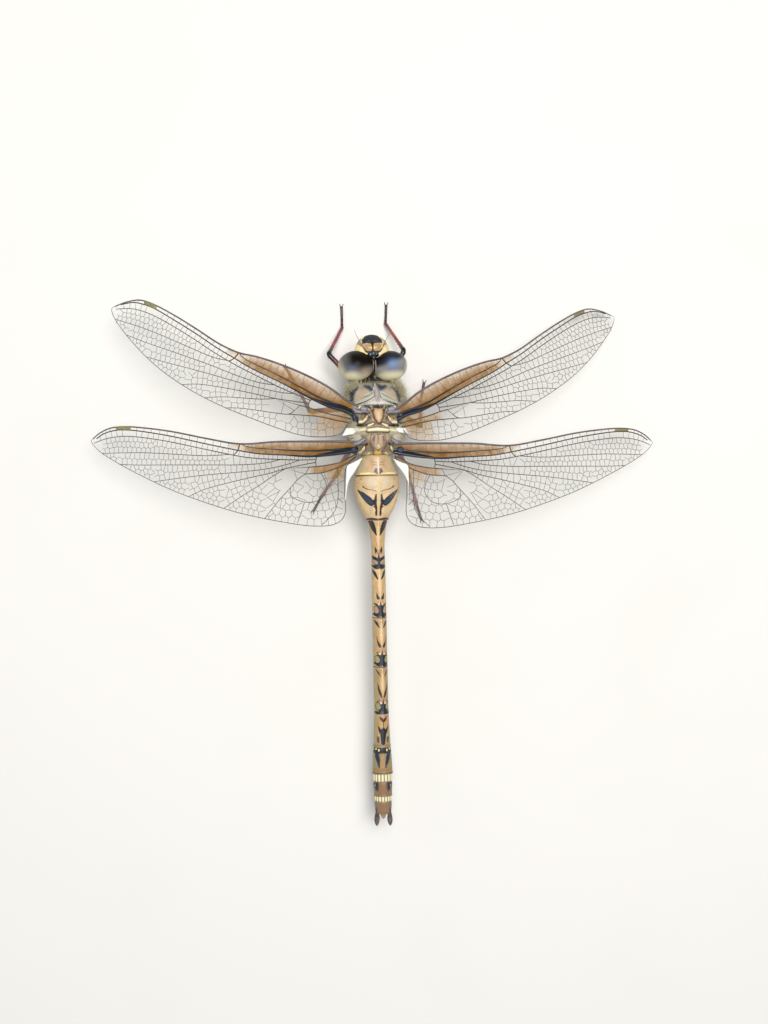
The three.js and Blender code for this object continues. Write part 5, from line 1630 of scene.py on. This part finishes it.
def makeEye(side, name):
    eye = head["eye"]
    middle, size = Vector(eye["middle"]), eye["size"]
    middle.x *= side
    middle.y += eye["right"] * (side > 0)
    piece = ball(f"{name}_dome", middle, size, 120, 160, (math.pi / 2, 0, 0))
    sliceOff((side * eye["gap"], 0, 0), (side, 0, 0))
    points = coords(piece)
    out = (points[:, 0] * side - middle.x * side) / size[0]
    fore = (points[:, 1] - middle.y) / size[1]
    up = (points[:, 2] - middle.z) / size[2]
    # on top the two domes lean against each other along a narrow seam
    lean = ease(-out, 0.2, 0.65) * ease(up, -0.2, 0.3) * (1 - ease(up, 0.72, 1.0))
    lean *= (1 - ease(fore, 0.3, 0.68)) * (1 - ease(-fore, 0.3, 0.62))
    across = points[:, 0] * side
    points[:, 0] = side * np.maximum(across - 0.42 * lean, np.minimum(across, eye["gap"]))
    mould(piece, points)
    # what is dark, where the painted blue reflection of the sky lies, and the straw round it
    look = head["eyeColours"][name]
    slant, shift, start, full, power, fade, fadeFrom, fadeTo = look["dark"]
    dark = 1 - (1 - ease(fore - slant * out - shift, start, full)) ** power
    dark *= 1 - fade * ease(out, fadeFrom, fadeTo)
    brown = ease(fore, -0.8, -0.35) * look["brown"] * np.exp(-((out + 0.18) / 0.32) ** 2)
    inner = look["inner"] * np.exp(-((out + 0.2) / 0.35) ** 2)
    straw = np.maximum(ease(-fore - inner, 0.3, 0.82), ease(out - 0.22 * fore, look["strawFrom"], 1.1))
    skyReflection, rosy = glow(out, fore, *look["skyReflection"]), glow(out, fore, *look["rosy"])
    rim = np.maximum(ease(fore, 0.88, 0.98), ease(-up, 0.0, 0.5))
    inside = np.abs(points[:, 0])
    brim = ease(-inside, -0.26, -0.14) * ease(up, 0.1, 0.5) * (1 - ease(fore, 0.45, 0.7))
    # painted shade: near black in the crevice where the two domes meet
    seam = ease(-inside, -eye["gap"] - 0.04, -eye["gap"] - 0.005)
    layers = {
        "brown": brown, "dark": dark, "straw": straw, "skyReflection": skyReflection, "rosy": rosy, "rim": rim, "brim": brim,
        "seam": seam,
    }
    for layer, values in layers.items():
        keepNumbers(piece, layer, values)
    settle(piece, eyeFinish, [name], headTurn)


def eyeMaterial():
    # compound eye, thousands of clear lenses over pigment: deep brown above, straw behind, a painted blue
    # reflection of the sky, soft gloss
    cuticle, tree, shader = newMaterial("lensCuticle", Roughness=0.4, IOR=1.54, Specular_IOR_Level=0.08)
    # the blue layer is a painted reflection of the sky
    shades = (
        ("brown", "#40352d", 0.9), ("straw", "#fff6cd", 0.97), ("rosy", "#c2ab94", 0.8),
        ("dark", "#120b05", 1.0), ("skyReflection", "#6d8ab8", 0.8), ("rim", "#85794f", 0.85),
        # the seam layer is painted shade, in the crevice between the eyes
        ("brim", "#c2bda6", 0.7), ("seam", "#0b0b0c", 1.0),
    )
    colour = stain(tree, mottle(tree, 1.5), "#868484", "#747271")
    for name, shade, strength in shades:
        layer = addNode(tree, "Attribute", attribute_name=name).outputs["Fac"]
        share = addNode(tree, "Math", {0: layer, 1: strength}, operation="MULTIPLY")
        colour = stain(tree, share.outputs[0], colour, shade)
    tree.links.new(colour, shader.inputs["Base Color"])
    # the real lenses are 0.04 mm across; they are drawn 0.11 mm so that they show
    where = addNode(tree, "TexCoord")
    scale = 1000 / head["eye"]["facet"]
    cells = addNode(tree, "TexVoronoi", {"Vector": where.outputs["Object"], "Scale": scale})
    feeds = {"Height": cells.outputs[0], "Strength": 0.3, "Distance": 0.00003}
    bump = addNode(tree, "Bump", feeds, invert=True)
    tree.links.new(bump.outputs[0], shader.inputs["Normal"])
    return cuticle


eyeFinish = eyeMaterial()
makeEye(-1, "eye_left")
makeEye(1, "eye_right")

face = {
    # brow, upper face, lip and lower lip: middle, half size, shade
    "plates": {
        "frons": ((0, 14.95, 11.75), (2.5, 2.45, 1.5), "#ead9a2"),
        "clypeus": ((0, 14.7, 9.9), (2.4, 2.4, 1.5), "#d6c48e"),
        "labrum": ((0, 14.4, 8.35), (1.95, 2.05, 1.15), "#c4ab72"),
        "labium": ((0, 13.5, 7.55), (2.1, 2.0, 1.0), "#b5a47a"),
    },
    "smallEyes": {
        "middle": ((-0.08, 14.45, 13.72), 0.14), "left": ((-0.5, 14.38, 13.66), 0.11),
        "right": ((0.34, 14.38, 13.66), 0.11),
    },
    # the feeler's line, for the right side, and its radius at shares of its length
    "feeler": [
        (1.0, 14.85, 12.9), (1.2, 15.1, 13.2), (1.45, 15.5, 13.35), (1.95, 16.4, 13.4), (2.35, 17.2, 13.5),
        (2.6, 17.9, 13.75),
    ],
    "feelerRadius": ([0, 0.1, 0.16, 0.22, 0.3, 0.5, 1], [0.13, 0.14, 0.09, 0.09, 0.055, 0.04, 0.025]),
    # marks on the brow, from above: (colour, soft edge, strokes of [x, y, radius])
    "marks": {
        "orange": ("#a98655", 0.1, [
            [(-0.4, 15.7, 0.28), (-1.15, 15.7, 0.26), (-0.9, 15.15, 0.28), (-0.4, 15.0, 0.28)],
            [(0.35, 15.7, 0.28), (1.05, 15.7, 0.26), (0.8, 15.15, 0.28), (0.35, 15.0, 0.28)],
        ]),
        "rose": ("#a98273", 0.16, [
            [(-1.75, 16.0, 0.2), (-1.4, 15.75, 0.16), (-1.0, 15.7, 0.1)],
            [(1.85, 15.9, 0.2), (1.45, 15.7, 0.14)],
        ]),
        "crescent": ("#23282e", 0.06, [[
            (-1.4, 16.08, 0.12), (-1.06, 16.42, 0.44), (-0.6, 16.62, 0.64), (-0.05, 16.74, 0.78),
            (0.5, 16.62, 0.64), (0.98, 16.4, 0.44), (1.3, 16.05, 0.12),
        ]]),
        "stem": ("#2f140b", 0.05, [
            [
                (-0.04, 16.0, 0.3), (-0.04, 15.76, 0.15), (-0.05, 15.2, 0.13), (-0.06, 14.85, 0.2),
                (-0.06, 14.6, 0.5),
            ],
            [
                (-1.15, 14.86, 0.08), (-0.7, 14.72, 0.2), (0, 14.6, 0.34), (0.6, 14.7, 0.2),
                (1.05, 14.84, 0.08),
            ],
        ]),
        "dusk": ("#8c7556", 0.3, [
            [(-2.0, 16.3, 0.3), (-1.75, 16.7, 0.2)], [(1.9, 16.4, 0.3), (1.7, 16.75, 0.2)],
        ]),
        "line": ("#8d6a40", 0.035, [
            [(-2.05, 16.1, 0.03), (-1.6, 15.55, 0.04), (-1.2, 14.95, 0.03)],
            [(2.15, 15.75, 0.03), (1.7, 15.4, 0.04), (1.25, 14.95, 0.03)],
        ]),
    },
}


def faceMaterial(name, base, marks):
    # face plate, thin glossy cuticle: waxy yellow with a soft shine and fine wrinkles
    cuticle, tree, shader = newMaterial(name, Roughness=0.5, IOR=1.54, Specular_IOR_Level=0.3)
    colour = clouds(tree, base, "#c4a66c", 0.7, -0.1, 0.25, 0.35, 4)
    colour = layMarks(tree, colour, marks, 0.08, 0.08)
    tree.links.new(colour, shader.inputs["Base Color"])
    roughen(tree, shader, 0.25, 0.08, 0.5, 4)
    return cuticle


def makeFace():
    for name, (middle, size, base) in face["plates"].items():
        piece = ball(f"{name}_plate", middle, size, 64, 96, (math.pi / 2, 0, 0))
        sliceOff((0, 13.0, 0), (0, 1, 0))
        points = coords(piece)
        x, y, z = points.T.copy()
        if name == "frons":
            # a ridge along the brow's front edge and a shallow trough down its middle
            away = np.hypot(x / 2.1, (y - 14.6) / 2.3) - 0.9
            points[:, 2] += 0.12 * np.exp(-(away / 0.12) ** 2) * ease(z, 11.5, 12.5)
            z = points[:, 2]
            points[:, 2] -= 0.12 * np.exp(-(x / 0.2) ** 2) * ease(z, 12, 12.8)
        if name == "clypeus":
            # a groove across it and one down each side
            points[:, 1] -= 0.14 * np.exp(-((z - 9.75) / 0.12) ** 2) * ease(y, 15, 16)
            y = points[:, 1]
            points[:, 1] -= 0.12 * np.exp(-(np.abs(np.abs(x) - 1.1) / 0.2) ** 2) * ease(y, 15, 16)
        if name == "labrum":
            # the lip is notched in its middle
            points[:, 1] -= 0.1 * np.exp(-(x / 0.16) ** 2) * ease(-z, -8.3, -7.6)
        mould(piece, points)
        marks = face["marks"] if name == "frons" else {}
        below = 2 * (1 - ease(points[:, 2], 10.9, 11.6))
        for mark, (_, _, strokes) in marks.items():
            keepNumbers(piece, mark, outside(points[:, 0], points[:, 1], strokes) + below)
        settle(piece, faceMaterial(f"{name}Cuticle", base, marks), [name], headTurn)

    # brow hump between the eyes and the three small eyes on it: hard black cuticle, polished
    black = cloudedMaterial(
        "polishedBlackCuticle", "#15171b", "#3a3f42", 0.4, -0.1, 0.3, Roughness=0.22, IOR=1.54,
    )
    # small eye, one clear lens: pale blue-grey, wet gloss
    lens = cloudedMaterial("smallLens", "#9fb2c0", "#5d6a76", 0.2, -0.2, 0.3, Roughness=0.1, IOR=1.5)
    # feeler, a jointed cuticle bristle: horn brown, satin
    horn = cloudedMaterial("hornBrownCuticle", "#7d5c40", "#4f3826", 0.5, Roughness=0.42, IOR=1.54)
    # back of the head, thin plates: brown-black, dull
    dull = cloudedMaterial("dullBrownCuticle", "#181410", "#3a3226", 0.5, detail=4, Roughness=0.6, IOR=1.54)
    # the small plate behind the eyes: thin cuticle, pale tan, dull
    tan = cloudedMaterial("dullTanCuticle", "#6e6350", "#3a3228", 0.2, Roughness=0.55, IOR=1.54)
    hump = ball("vertex_hump", (-0.08, 14.32, 13.25), (0.86, 0.46, 0.48), 24, 40)
    points = coords(hump)
    peak = np.exp(-(points[:, 0] / 0.3) ** 2 - ((points[:, 1] - 14.2) / 0.25) ** 2)
    points[:, 2] += 0.2 * peak * ease(points[:, 2], 13.2, 13.6)
    mould(hump, points)
    settle(hump, black, turn=headTurn)
    wedge = ball("vertex_wedge", (-0.02, 13.95, 13.1), (0.42, 0.6, 0.6), 20, 28)
    settle(wedge, black, turn=headTurn)
    for name, (place, size) in face["smallEyes"].items():
        settle(ball(f"ocellus_{name}", place, (size, size, size), 16, 24), lens, turn=headTurn)
    settle(ball("occiput_wedge", (0.02, 11.2, 12.9), (0.24, 0.26, 0.2), 20, 28), tan, turn=headTurn)
    rear = ball("head_back", (0, 12.75, 9.7), (3.7, 1.75, 2.6), 48, 72, (math.pi / 2, 0, 0))
    settle(rear, dull, ["head"], headTurn)
    # jaw bases beside the lip: small glossy yellow knobs
    jaw = faceMaterial("jawCuticle", "#cbb67c", {})
    for side, name in ((-1, "left"), (1, "right")):
        base = ball(f"mandible_{name}", (side * 1.72, 14.3, 8.8), (0.72, 1.25, 1.0), 24, 32)
        settle(base, jaw, turn=headTurn)
        # feeler: two stout joints and a bristle
        feeler = spline([(side * x, y, z) for x, y, z in face["feeler"]], 6)
        widths = np.interp(np.linspace(0, 1, len(feeler)), *face["feelerRadius"])
        bristle = makeTubes(f"antenna_{name}_bristle", [list(zip(feeler, widths))], 3)
        settle(bristle, horn, [f"antenna_{name}"], headTurn)


makeFace()
print("head ready")


legs = {
    # hip, knee, ankle, toe
    "fore_left": [
        (-2.1, 10.5, 5.6), (-6.75, 15.5, 5.6), (-4.8, 20.1, 0.8), (-4.85, 23.4, 0.22),
    ],
    "fore_right": [(1.5, 10.5, 5.6), (4.45, 15.8, 5.6), (1.8, 20.6, 0.8), (1.95, 23.5, 0.22)],
    "mid_left": [(-2.3, 7.6, 5.0), (-9.6, 7.0, 6.6), (-12.25, 12.1, 0.8), (-13.6, 14.4, 0.22)],
    "mid_right": [(1.6, 7.8, 4.9), (6.6, 4.4, 8.1), (6.9, 8.8, 0.8), (7.5, 11.6, 0.22)],
    "hind_left": [(-1.6, 5.4, 4.8), (-5.9, -2.5, 8.0), (-8.45, -5.45, 0.8), (-9.8, -7.7, 0.22)],
    "hind_right": [(1.6, 5.4, 4.8), (4.7, -2.7, 8.0), (6.0, -7.0, 0.8), (6.7, -9.4, 0.22)],
}
legLook = {
    "femur": [(0, 0.5), (0.15, 0.5), (0.5, 0.44), (0.85, 0.37), (0.95, 0.4), (1, 0.33)],
    "tibia": [(0, 0.3), (0.06, 0.36), (0.15, 0.28), (0.6, 0.24), (0.93, 0.24), (1, 0.27)], "spines": 9,
    "spine": {"length": 0.95, "radius": 0.045},
    # how dark each part is: at least; more at its top, from, to; more at its foot, from, to
    "dark": {
        "coxa": (0.25, (0, 0, 1), (0, 0, 1)), "femur": (0.06, (0, 0, 1), (0.94, 0.62, 0.9)),
        "tibia": (0.25, (0.75, 0.02, 0.3), (0, 0, 1)),
        "foreTibia": (0.15, (0.85, 0.05, 0.3), (0.5, 0.7, 1)), "tarsus": (0.9, (0, 0, 1), (0, 0, 1)),
    },
}


def legMaterial():
    # leg cuticle, hard and smooth like horn: dull wine red, blue-black at the joints, a satin shine
    horn, tree, shader = newMaterial("hornRedCuticle", Roughness=0.36, IOR=1.54, Specular_IOR_Level=0.45)
    dark = addNode(tree, "Attribute", attribute_name="dark").outputs["Fac"]
    colour = clouds(tree, "#a54a4a", "#7c2f32", 0.9, -0.15, 0.2, detail=4)
    tree.links.new(stain(tree, dark, colour, "#1d1c22"), shader.inputs["Base Color"])
    roughen(tree, shader, 0.15, 0.04, 0.4, 3)
    return horn


def spineCone(name):
    # one spine, four-sided, its root at the origin and its tip along z
    clear()
    length, radius = legLook["spine"]["length"], legLook["spine"]["radius"]
    bpy.ops.mesh.primitive_cone_add(
        vertices=4, radius1=radius, radius2=0.004, depth=length, location=(0, 0, length / 2)
    )
    piece = bpy.context.object
    piece.name = name
    bpy.ops.object.transform_apply(location=True, rotation=True, scale=True)
    return piece


def alongLimb(a, b, profile):
    return [(a.lerp(b, clamp(share)), radius) for share, radius in spline(profile, 4)]


def makeLeg(name, places, horn, spine):
    hip, knee, ankle, toe = (Vector(p) for p in places)
    coxaTop = Vector((hip.x * 0.5, hip.y, hip.z + 2))
    trochanter = hip.lerp(knee, 0.1)
    collar = [(hip.lerp(knee, share), radius) for share, radius in ((-0.03, 0.4), (0.02, 0.54), (0.07, 0.5))]
    parts = {
        "coxa": [[
            (coxaTop, 0.95), (coxaTop.lerp(hip, 0.5), 0.9), (coxaTop.lerp(hip, 0.9), 0.62), (hip, 0.5),
        ]],
        "femur": [[*collar, (trochanter, 0.38)], alongLimb(trochanter, knee, legLook["femur"])],
        "tibia": [alongLimb(knee, ankle, legLook["tibia"])],
        "tarsus": [],
    }
    sole = ankle.lerp(toe, 0.45)
    sole.z = 0.24
    middle = ankle.lerp(sole, 0.5)
    for start, end, wide in ((ankle, ankle.lerp(sole, 0.45), 0.2), (middle, sole, 0.19), (sole, toe, 0.2)):
        rows = [(0, wide * 0.7), (0.15, wide), (0.8, wide), (0.95, wide * 1.12), (1, wide * 0.75)]
        parts["tarsus"].append([(start.lerp(end, share), radius) for share, radius in rows])
    ahead = (toe - sole).normalized()
    sideways = ahead.cross(Vector((0, 0, 1))).normalized()
    for side in (-1, 1):
        claw = [
            toe + ahead * forth + sideways * side * out + Vector((0, 0, up))
            for forth, out, up in ((-0.1, 0.06, 0), (0.22, 0.22, 0.05), (0.5, 0.26, -0.13))
        ]
        line = spline([tuple(p) for p in claw], 4)
        parts["tarsus"].append(list(zip(line, np.linspace(0.08, 0.02, len(line)))))
    ends = {"coxa": (coxaTop, hip), "femur": (hip, knee), "tibia": (knee, ankle), "tarsus": (ankle, toe)}
    for part, lines in parts.items():
        piece = makeTubes(f"{part}_{name}_tube", lines, 3)
        start, end = ends[part]
        if part in ("femur", "tibia"):
            axis = (end - start).normalized()
            thorns = [piece]
            for row, spread in enumerate((-1, 1)):
                up = Vector((0, 0, 1))
                side = (axis.cross(up).normalized() * spread * 0.75 - up * 0.65).normalized()
                for i in range(legLook["spines"]):
                    copy = spine.copy()
                    copy.data = spine.data.copy()
                    bpy.context.scene.collection.objects.link(copy)
                    share = (i + 0.5 + 0.25 * row) / (legLook["spines"] + 0.3)
                    aim = (side + axis * 0.75).normalized()
                    size = (0.45 if part == "femur" else 0.9) * (1 - 0.4 * share)
                    root = start.lerp(end, clamp(0.1 + 0.86 * share)) + side * 0.16
                    turn = aim.to_track_quat("Z", "Y").to_matrix().to_4x4()
                    copy.data.transform(Matrix.Translation(root) @ turn @ Matrix.Diagonal((1, 1, size, 1)))
                    thorns.append(copy)
            piece = joinAll(thorns, f"{part}_{name}_tube")
        points = coords(piece)
        axis = np.array(end - start)
        share = ((points - np.array(start)) @ axis) / (axis @ axis)
        away = np.linalg.norm(points - np.array(start) - np.clip(share, 0, 1)[:, None] * axis, axis=1)
        look = "foreTibia" if part == "tibia" and name.startswith("fore") else part
        least, (atTop, topFrom, topTo), (atFoot, footFrom, footTo) = legLook["dark"][look]
        dark = least + atTop * (1 - ease(share, topFrom, topTo)) + atFoot * ease(share, footFrom, footTo)
        keepNumbers(piece, "dark", np.maximum(np.clip(dark, 0, 1), ease(away, 0.42, 0.5)))
        settle(piece, horn, [f"{part}_{name}"])


hornRed = legMaterial()
spine = spineCone("spineModel")
for name, places in legs.items():
    makeLeg(name, places, hornRed, spine)
bpy.data.objects.remove(spine)
print("legs ready")

tail = {
    "z": 7.8,
    "clasper": {
        "from": -51.0, "length": 2.8, "inner": 0.88, "outer": 0.98,
        "widths": [(0, 0.2), (0.3, 0.27), (0.62, 0.4), (0.86, 0.3), (1, 0.06)],
    },
    "plate": {
        "from": -51.8, "length": 1.15, "width": 0.54,
        "outline": [(0, 0.9), (0.1, 1), (0.5, 0.78), (0.85, 0.42), (1, 0.16)],
    },
}


def makeTail():
    # clasper cuticle, flat leaf-like blades: warm grey-brown, dull with a dark midrib
    blade = cloudedMaterial("bladeCuticle", "#403633", "#6b5d55", 0.5, detail=4, Roughness=0.48, IOR=1.54)
    clasper = tail["clasper"]
    for side, name in ((-1, "left"), (1, "right")):
        rings = []
        for share, width in spline(clasper["widths"], 4):
            place = (
                side * lerp(clasper["inner"], clasper["outer"], share),
                clasper["from"] - clasper["length"] * share,
                tail["z"] + lerp(0.6, 0.25, clamp(2 * share)),
            )
            rings.append((place, width, 0.14 * (1 - 0.4 * share)))
        piece = smoother(loft(f"cercus_{name}_blade", rings, 16))
        settle(piece, blade, [f"cercus_{name}"])
    # end plate, thin and half clear: tan, dull
    thin = cloudedMaterial("plateCuticleTan", "#a8926a", "#7d684a", 0.4, detail=4, Roughness=0.5, IOR=1.54)
    plate = tail["plate"]
    rings = []
    for share, wide in plate["outline"]:
        place = (0, plate["from"] - plate["length"] * share, tail["z"] - 0.42)
        rings.append((place, plate["width"] * wide, 0.16 * wide + 0.02))
    settle(smoother(loft("epiproct_blade", rings, 16)), thin, ["epiproct"])


makeTail()
print("tail ready")
coat = {
    "seed": 23,
    "tallest": 15.1,  # no tip stands higher than this above the floor
    "root": 0.024,  # real hairs are 0.01 mm thick; each tuft of a few is drawn as one that shows
    # piece: skins it grows on, how many tufts, shortest and longest, where it is dense
    "thorax": {
        "skins": ["thorax_skin", "prothorax_skin"], "count": 4200, "length": (0.45, 1.45), "slot": "thorax",
    },
    "waist": {
        "skins": ["abdomen_ring_1", "abdomen_ring_2"], "count": 900, "length": (0.25, 0.5),
        "slot": "abdomen",
    },
}


def tuftModel():
    # one tuft, three-sided and tapering to a point along z, cut at two heights; it is bent over along x
    # where the coat is grown
    clear()
    bpy.ops.mesh.primitive_cone_add(vertices=3, radius1=1, radius2=0, depth=1, location=(0, 0, 0.5))
    piece = bpy.context.object
    bpy.ops.object.transform_apply(location=True, rotation=True, scale=True)
    bpy.ops.object.mode_set(mode="EDIT")
    for height in (0.35, 0.7):
        bpy.ops.mesh.select_all(action="SELECT")
        bpy.ops.mesh.bisect(plane_co=(0, 0, height), plane_no=(0, 0, 1))
    bpy.ops.object.mode_set(mode="OBJECT")
    points = coords(piece)
    faces = [tuple(face.vertices) for face in piece.data.polygons]
    bpy.data.objects.remove(piece)
    return points, faces


def growCoat(name, hair):
    look = coat[name]
    count = look["count"]
    dice = np.random.default_rng(coat["seed"])
    model, modelFaces = tuftModel()
    corners, normals, weights = [], [], []
    for skin in look["skins"]:
        mesh = bpy.data.objects[skin].data
        places = np.zeros(len(mesh.vertices) * 3, np.float32)
        mesh.attributes["place"].data.foreach_get("vector", places)
        mesh.calc_loop_triangles()
        triangles = np.zeros(len(mesh.loop_triangles) * 3, np.int32)
        mesh.loop_triangles.foreach_get("vertices", triangles)
        corner = places.reshape(-1, 3).astype(float)[triangles.reshape(-1, 3)]
        cross = np.cross(corner[:, 1] - corner[:, 0], corner[:, 2] - corner[:, 0])
        size = np.linalg.norm(cross, axis=1)
        corners.append(corner)
        normals.append(cross / np.maximum(size, 1e-12)[:, None])
        weights.append(size)
    corners, normals, weights = (np.concatenate(rows) for rows in (corners, normals, weights))
    middle = corners.mean(axis=1)
    # thick on the shoulders and flanks, thin below, none on the polished back
    x, y, z = middle.T
    flank = ease(np.abs(normals[:, 0]), 0.35, 0.75)
    if name == "thorax":
        shoulder = ease(y, 7.2, 9.0) * ease(np.abs(x), 2.6, 3.5) + ease(normals[:, 1], 0.5, 0.9)
        bare = ease(-np.abs(x - 0.1), -2.6, -1.4) * ease(z, 10.5, 12) * ease(y, 7, 9)
        saddle = ease(-np.abs(x - 0.3), -3.6, -2.6) * ease(z, 11.8, 12.8) * (1 - ease(y, 6.8, 7.4))
        nape = ease(y, 9.4, 10.2) * ease(z, 10.5, 12) * ease(-np.abs(x - 0.1), -2.5, -1.7)
        neck = ease(y, 10.5, 10.75) * ease(z, 9.5, 10.5)
        thick = 0.55 * flank + 1.6 * shoulder + 0.12
        weights *= (
            (1 - 0.9 * nape) * (1 - 0.95 * neck) * (1 - 0.93 * saddle) * thick
            * (1 - ease(normals[:, 2], 0.55, 0.8)) * ease(y, 0.3, 1.5) * (1 - 0.85 * bare)
        )
    else:
        weights *= flank * ease(y, -7.5, -1.5) * (1 - ease(y, -0.6, -0.2))
    chosen = dice.choice(len(weights), count, p=weights / weights.sum())
    blend = dice.dirichlet((1, 1, 1), count)
    roots = (corners[chosen] * blend[:, :, None]).sum(axis=1)
    normal = normals[chosen]
    # the hairs on the shoulders point out and forward, the rest lie back along the body
    forward = ease(roots[:, 1], 6.5, 9.5)[:, None]
    lie = forward * np.array([0, 0.5, -0.1]) + (1 - forward) * np.array([0, -0.8, -0.25])
    aim = normal * (0.75 if name == "thorax" else 0.5) + lie + dice.normal(0, 0.16, roots.shape)
    aim /= np.linalg.norm(aim, axis=1)[:, None]
    side = np.cross(aim, normal + dice.normal(0, 0.1, roots.shape))
    side /= np.maximum(np.linalg.norm(side, axis=1), 1e-6)[:, None]
    over = np.cross(side, aim)
    length = dice.uniform(*look["length"], count)
    if name == "thorax":
        length *= 0.6 + 0.4 * ease(roots[:, 1], 5.5, 8.0)
    radius = coat["root"] * dice.uniform(0.8, 1.2, count)
    # every tuft bends back to its skin a little more towards its tip
    modelX, modelY, modelZ = model.T[:, None, :, None]
    thick, long = radius[:, None, None], length[:, None, None]
    points = (
        roots[:, None] - normal[:, None] * 0.02 + over[:, None] * (modelX * thick - 0.22 * modelZ**2 * long)
        + side[:, None] * modelY * thick + aim[:, None] * modelZ * long
    ).reshape(-1, 3)
    points[:, 2] = np.minimum(points[:, 2], coat["tallest"])
    faces = [tuple(i + number * len(model) for i in face) for number in range(count) for face in modelFaces]
    mesh = bpy.data.meshes.new(f"pile_{name}")
    mesh.from_pydata(points.tolist(), [], faces)
    piece = bpy.data.objects.new(f"pile_{name}", mesh)
    bpy.context.scene.collection.objects.link(piece)
    pick(piece)
    bpy.ops.object.mode_set(mode="EDIT")
    bpy.ops.mesh.select_all(action="SELECT")
    bpy.ops.mesh.normals_make_consistent(inside=False)
    bpy.ops.object.mode_set(mode="OBJECT")
    # each tuft is one small patch of the map, at its root's place on the skin unrolled
    low, high = roots[:, 1].min(), roots[:, 1].max()
    turn = np.arctan2(roots[:, 0], roots[:, 2] - 9.9) / (2 * math.pi) + 0.5
    rootMap = np.stack([0.01 + 0.98 * turn, 0.01 + 0.98 * (roots[:, 1] - low) / (high - low)], axis=1)
    patch = np.stack([model[:, 0], model[:, 2] * 2 - 1], axis=1) * 0.0015
    everyPoint = (rootMap[:, None, :] + patch[None, :, :]).reshape(-1, 2)
    layer = mesh.uv_layers.new(name="OFBake")
    order = np.zeros(len(mesh.loops), np.int32)
    mesh.loops.foreach_get("vertex_index", order)
    layer.data.foreach_set("uv", everyPoint[order].astype(np.float32).ravel())
    keepNumbers(piece, "tip", np.tile(model[:, 2], count))
    keepNumbers(piece, "shade", np.repeat(dice.uniform(0, 1, count), len(model)))
    # a tuft takes the dark of the mark that it grows from
    marks = thorax["marks"]["band"][2] + thorax["marks"]["smudge"][2] if name == "thorax" else [[(0, 99, 0)]]
    night = outside(roots[:, 0], roots[:, 1], marks) + 3 * (roots[:, 2] < 10.5)
    keepNumbers(piece, "night", np.repeat(night, len(model)))
    settle(piece, hair)


def hairMaterial():
    # fine chitin hair, like dry silk: pale straw-green, paler at the tips, a soft sheen
    hair, tree, shader = newMaterial("silkyHair", Roughness=0.62, IOR=1.54, Specular_IOR_Level=0.2)
    tip = addNode(tree, "Attribute", attribute_name="tip").outputs["Fac"]
    shade = addNode(tree, "Attribute", attribute_name="shade").outputs["Fac"]
    colour = stain(tree, shade, "#8e815f", "#e2dab8")
    colour = layMark(tree, colour, "night", "#3d4043", 0.2)
    share = addNode(tree, "MapRange", {"Value": tip, 1: 0.2, 2: 1.0, 4: 0.7})
    tree.links.new(stain(tree, share.outputs[0], colour, "#dcd6ba"), shader.inputs["Base Color"])
    return hair


silkyHair = hairMaterial()
for name in ("thorax", "waist"):
    growCoat(name, silkyHair)
print("hair ready")
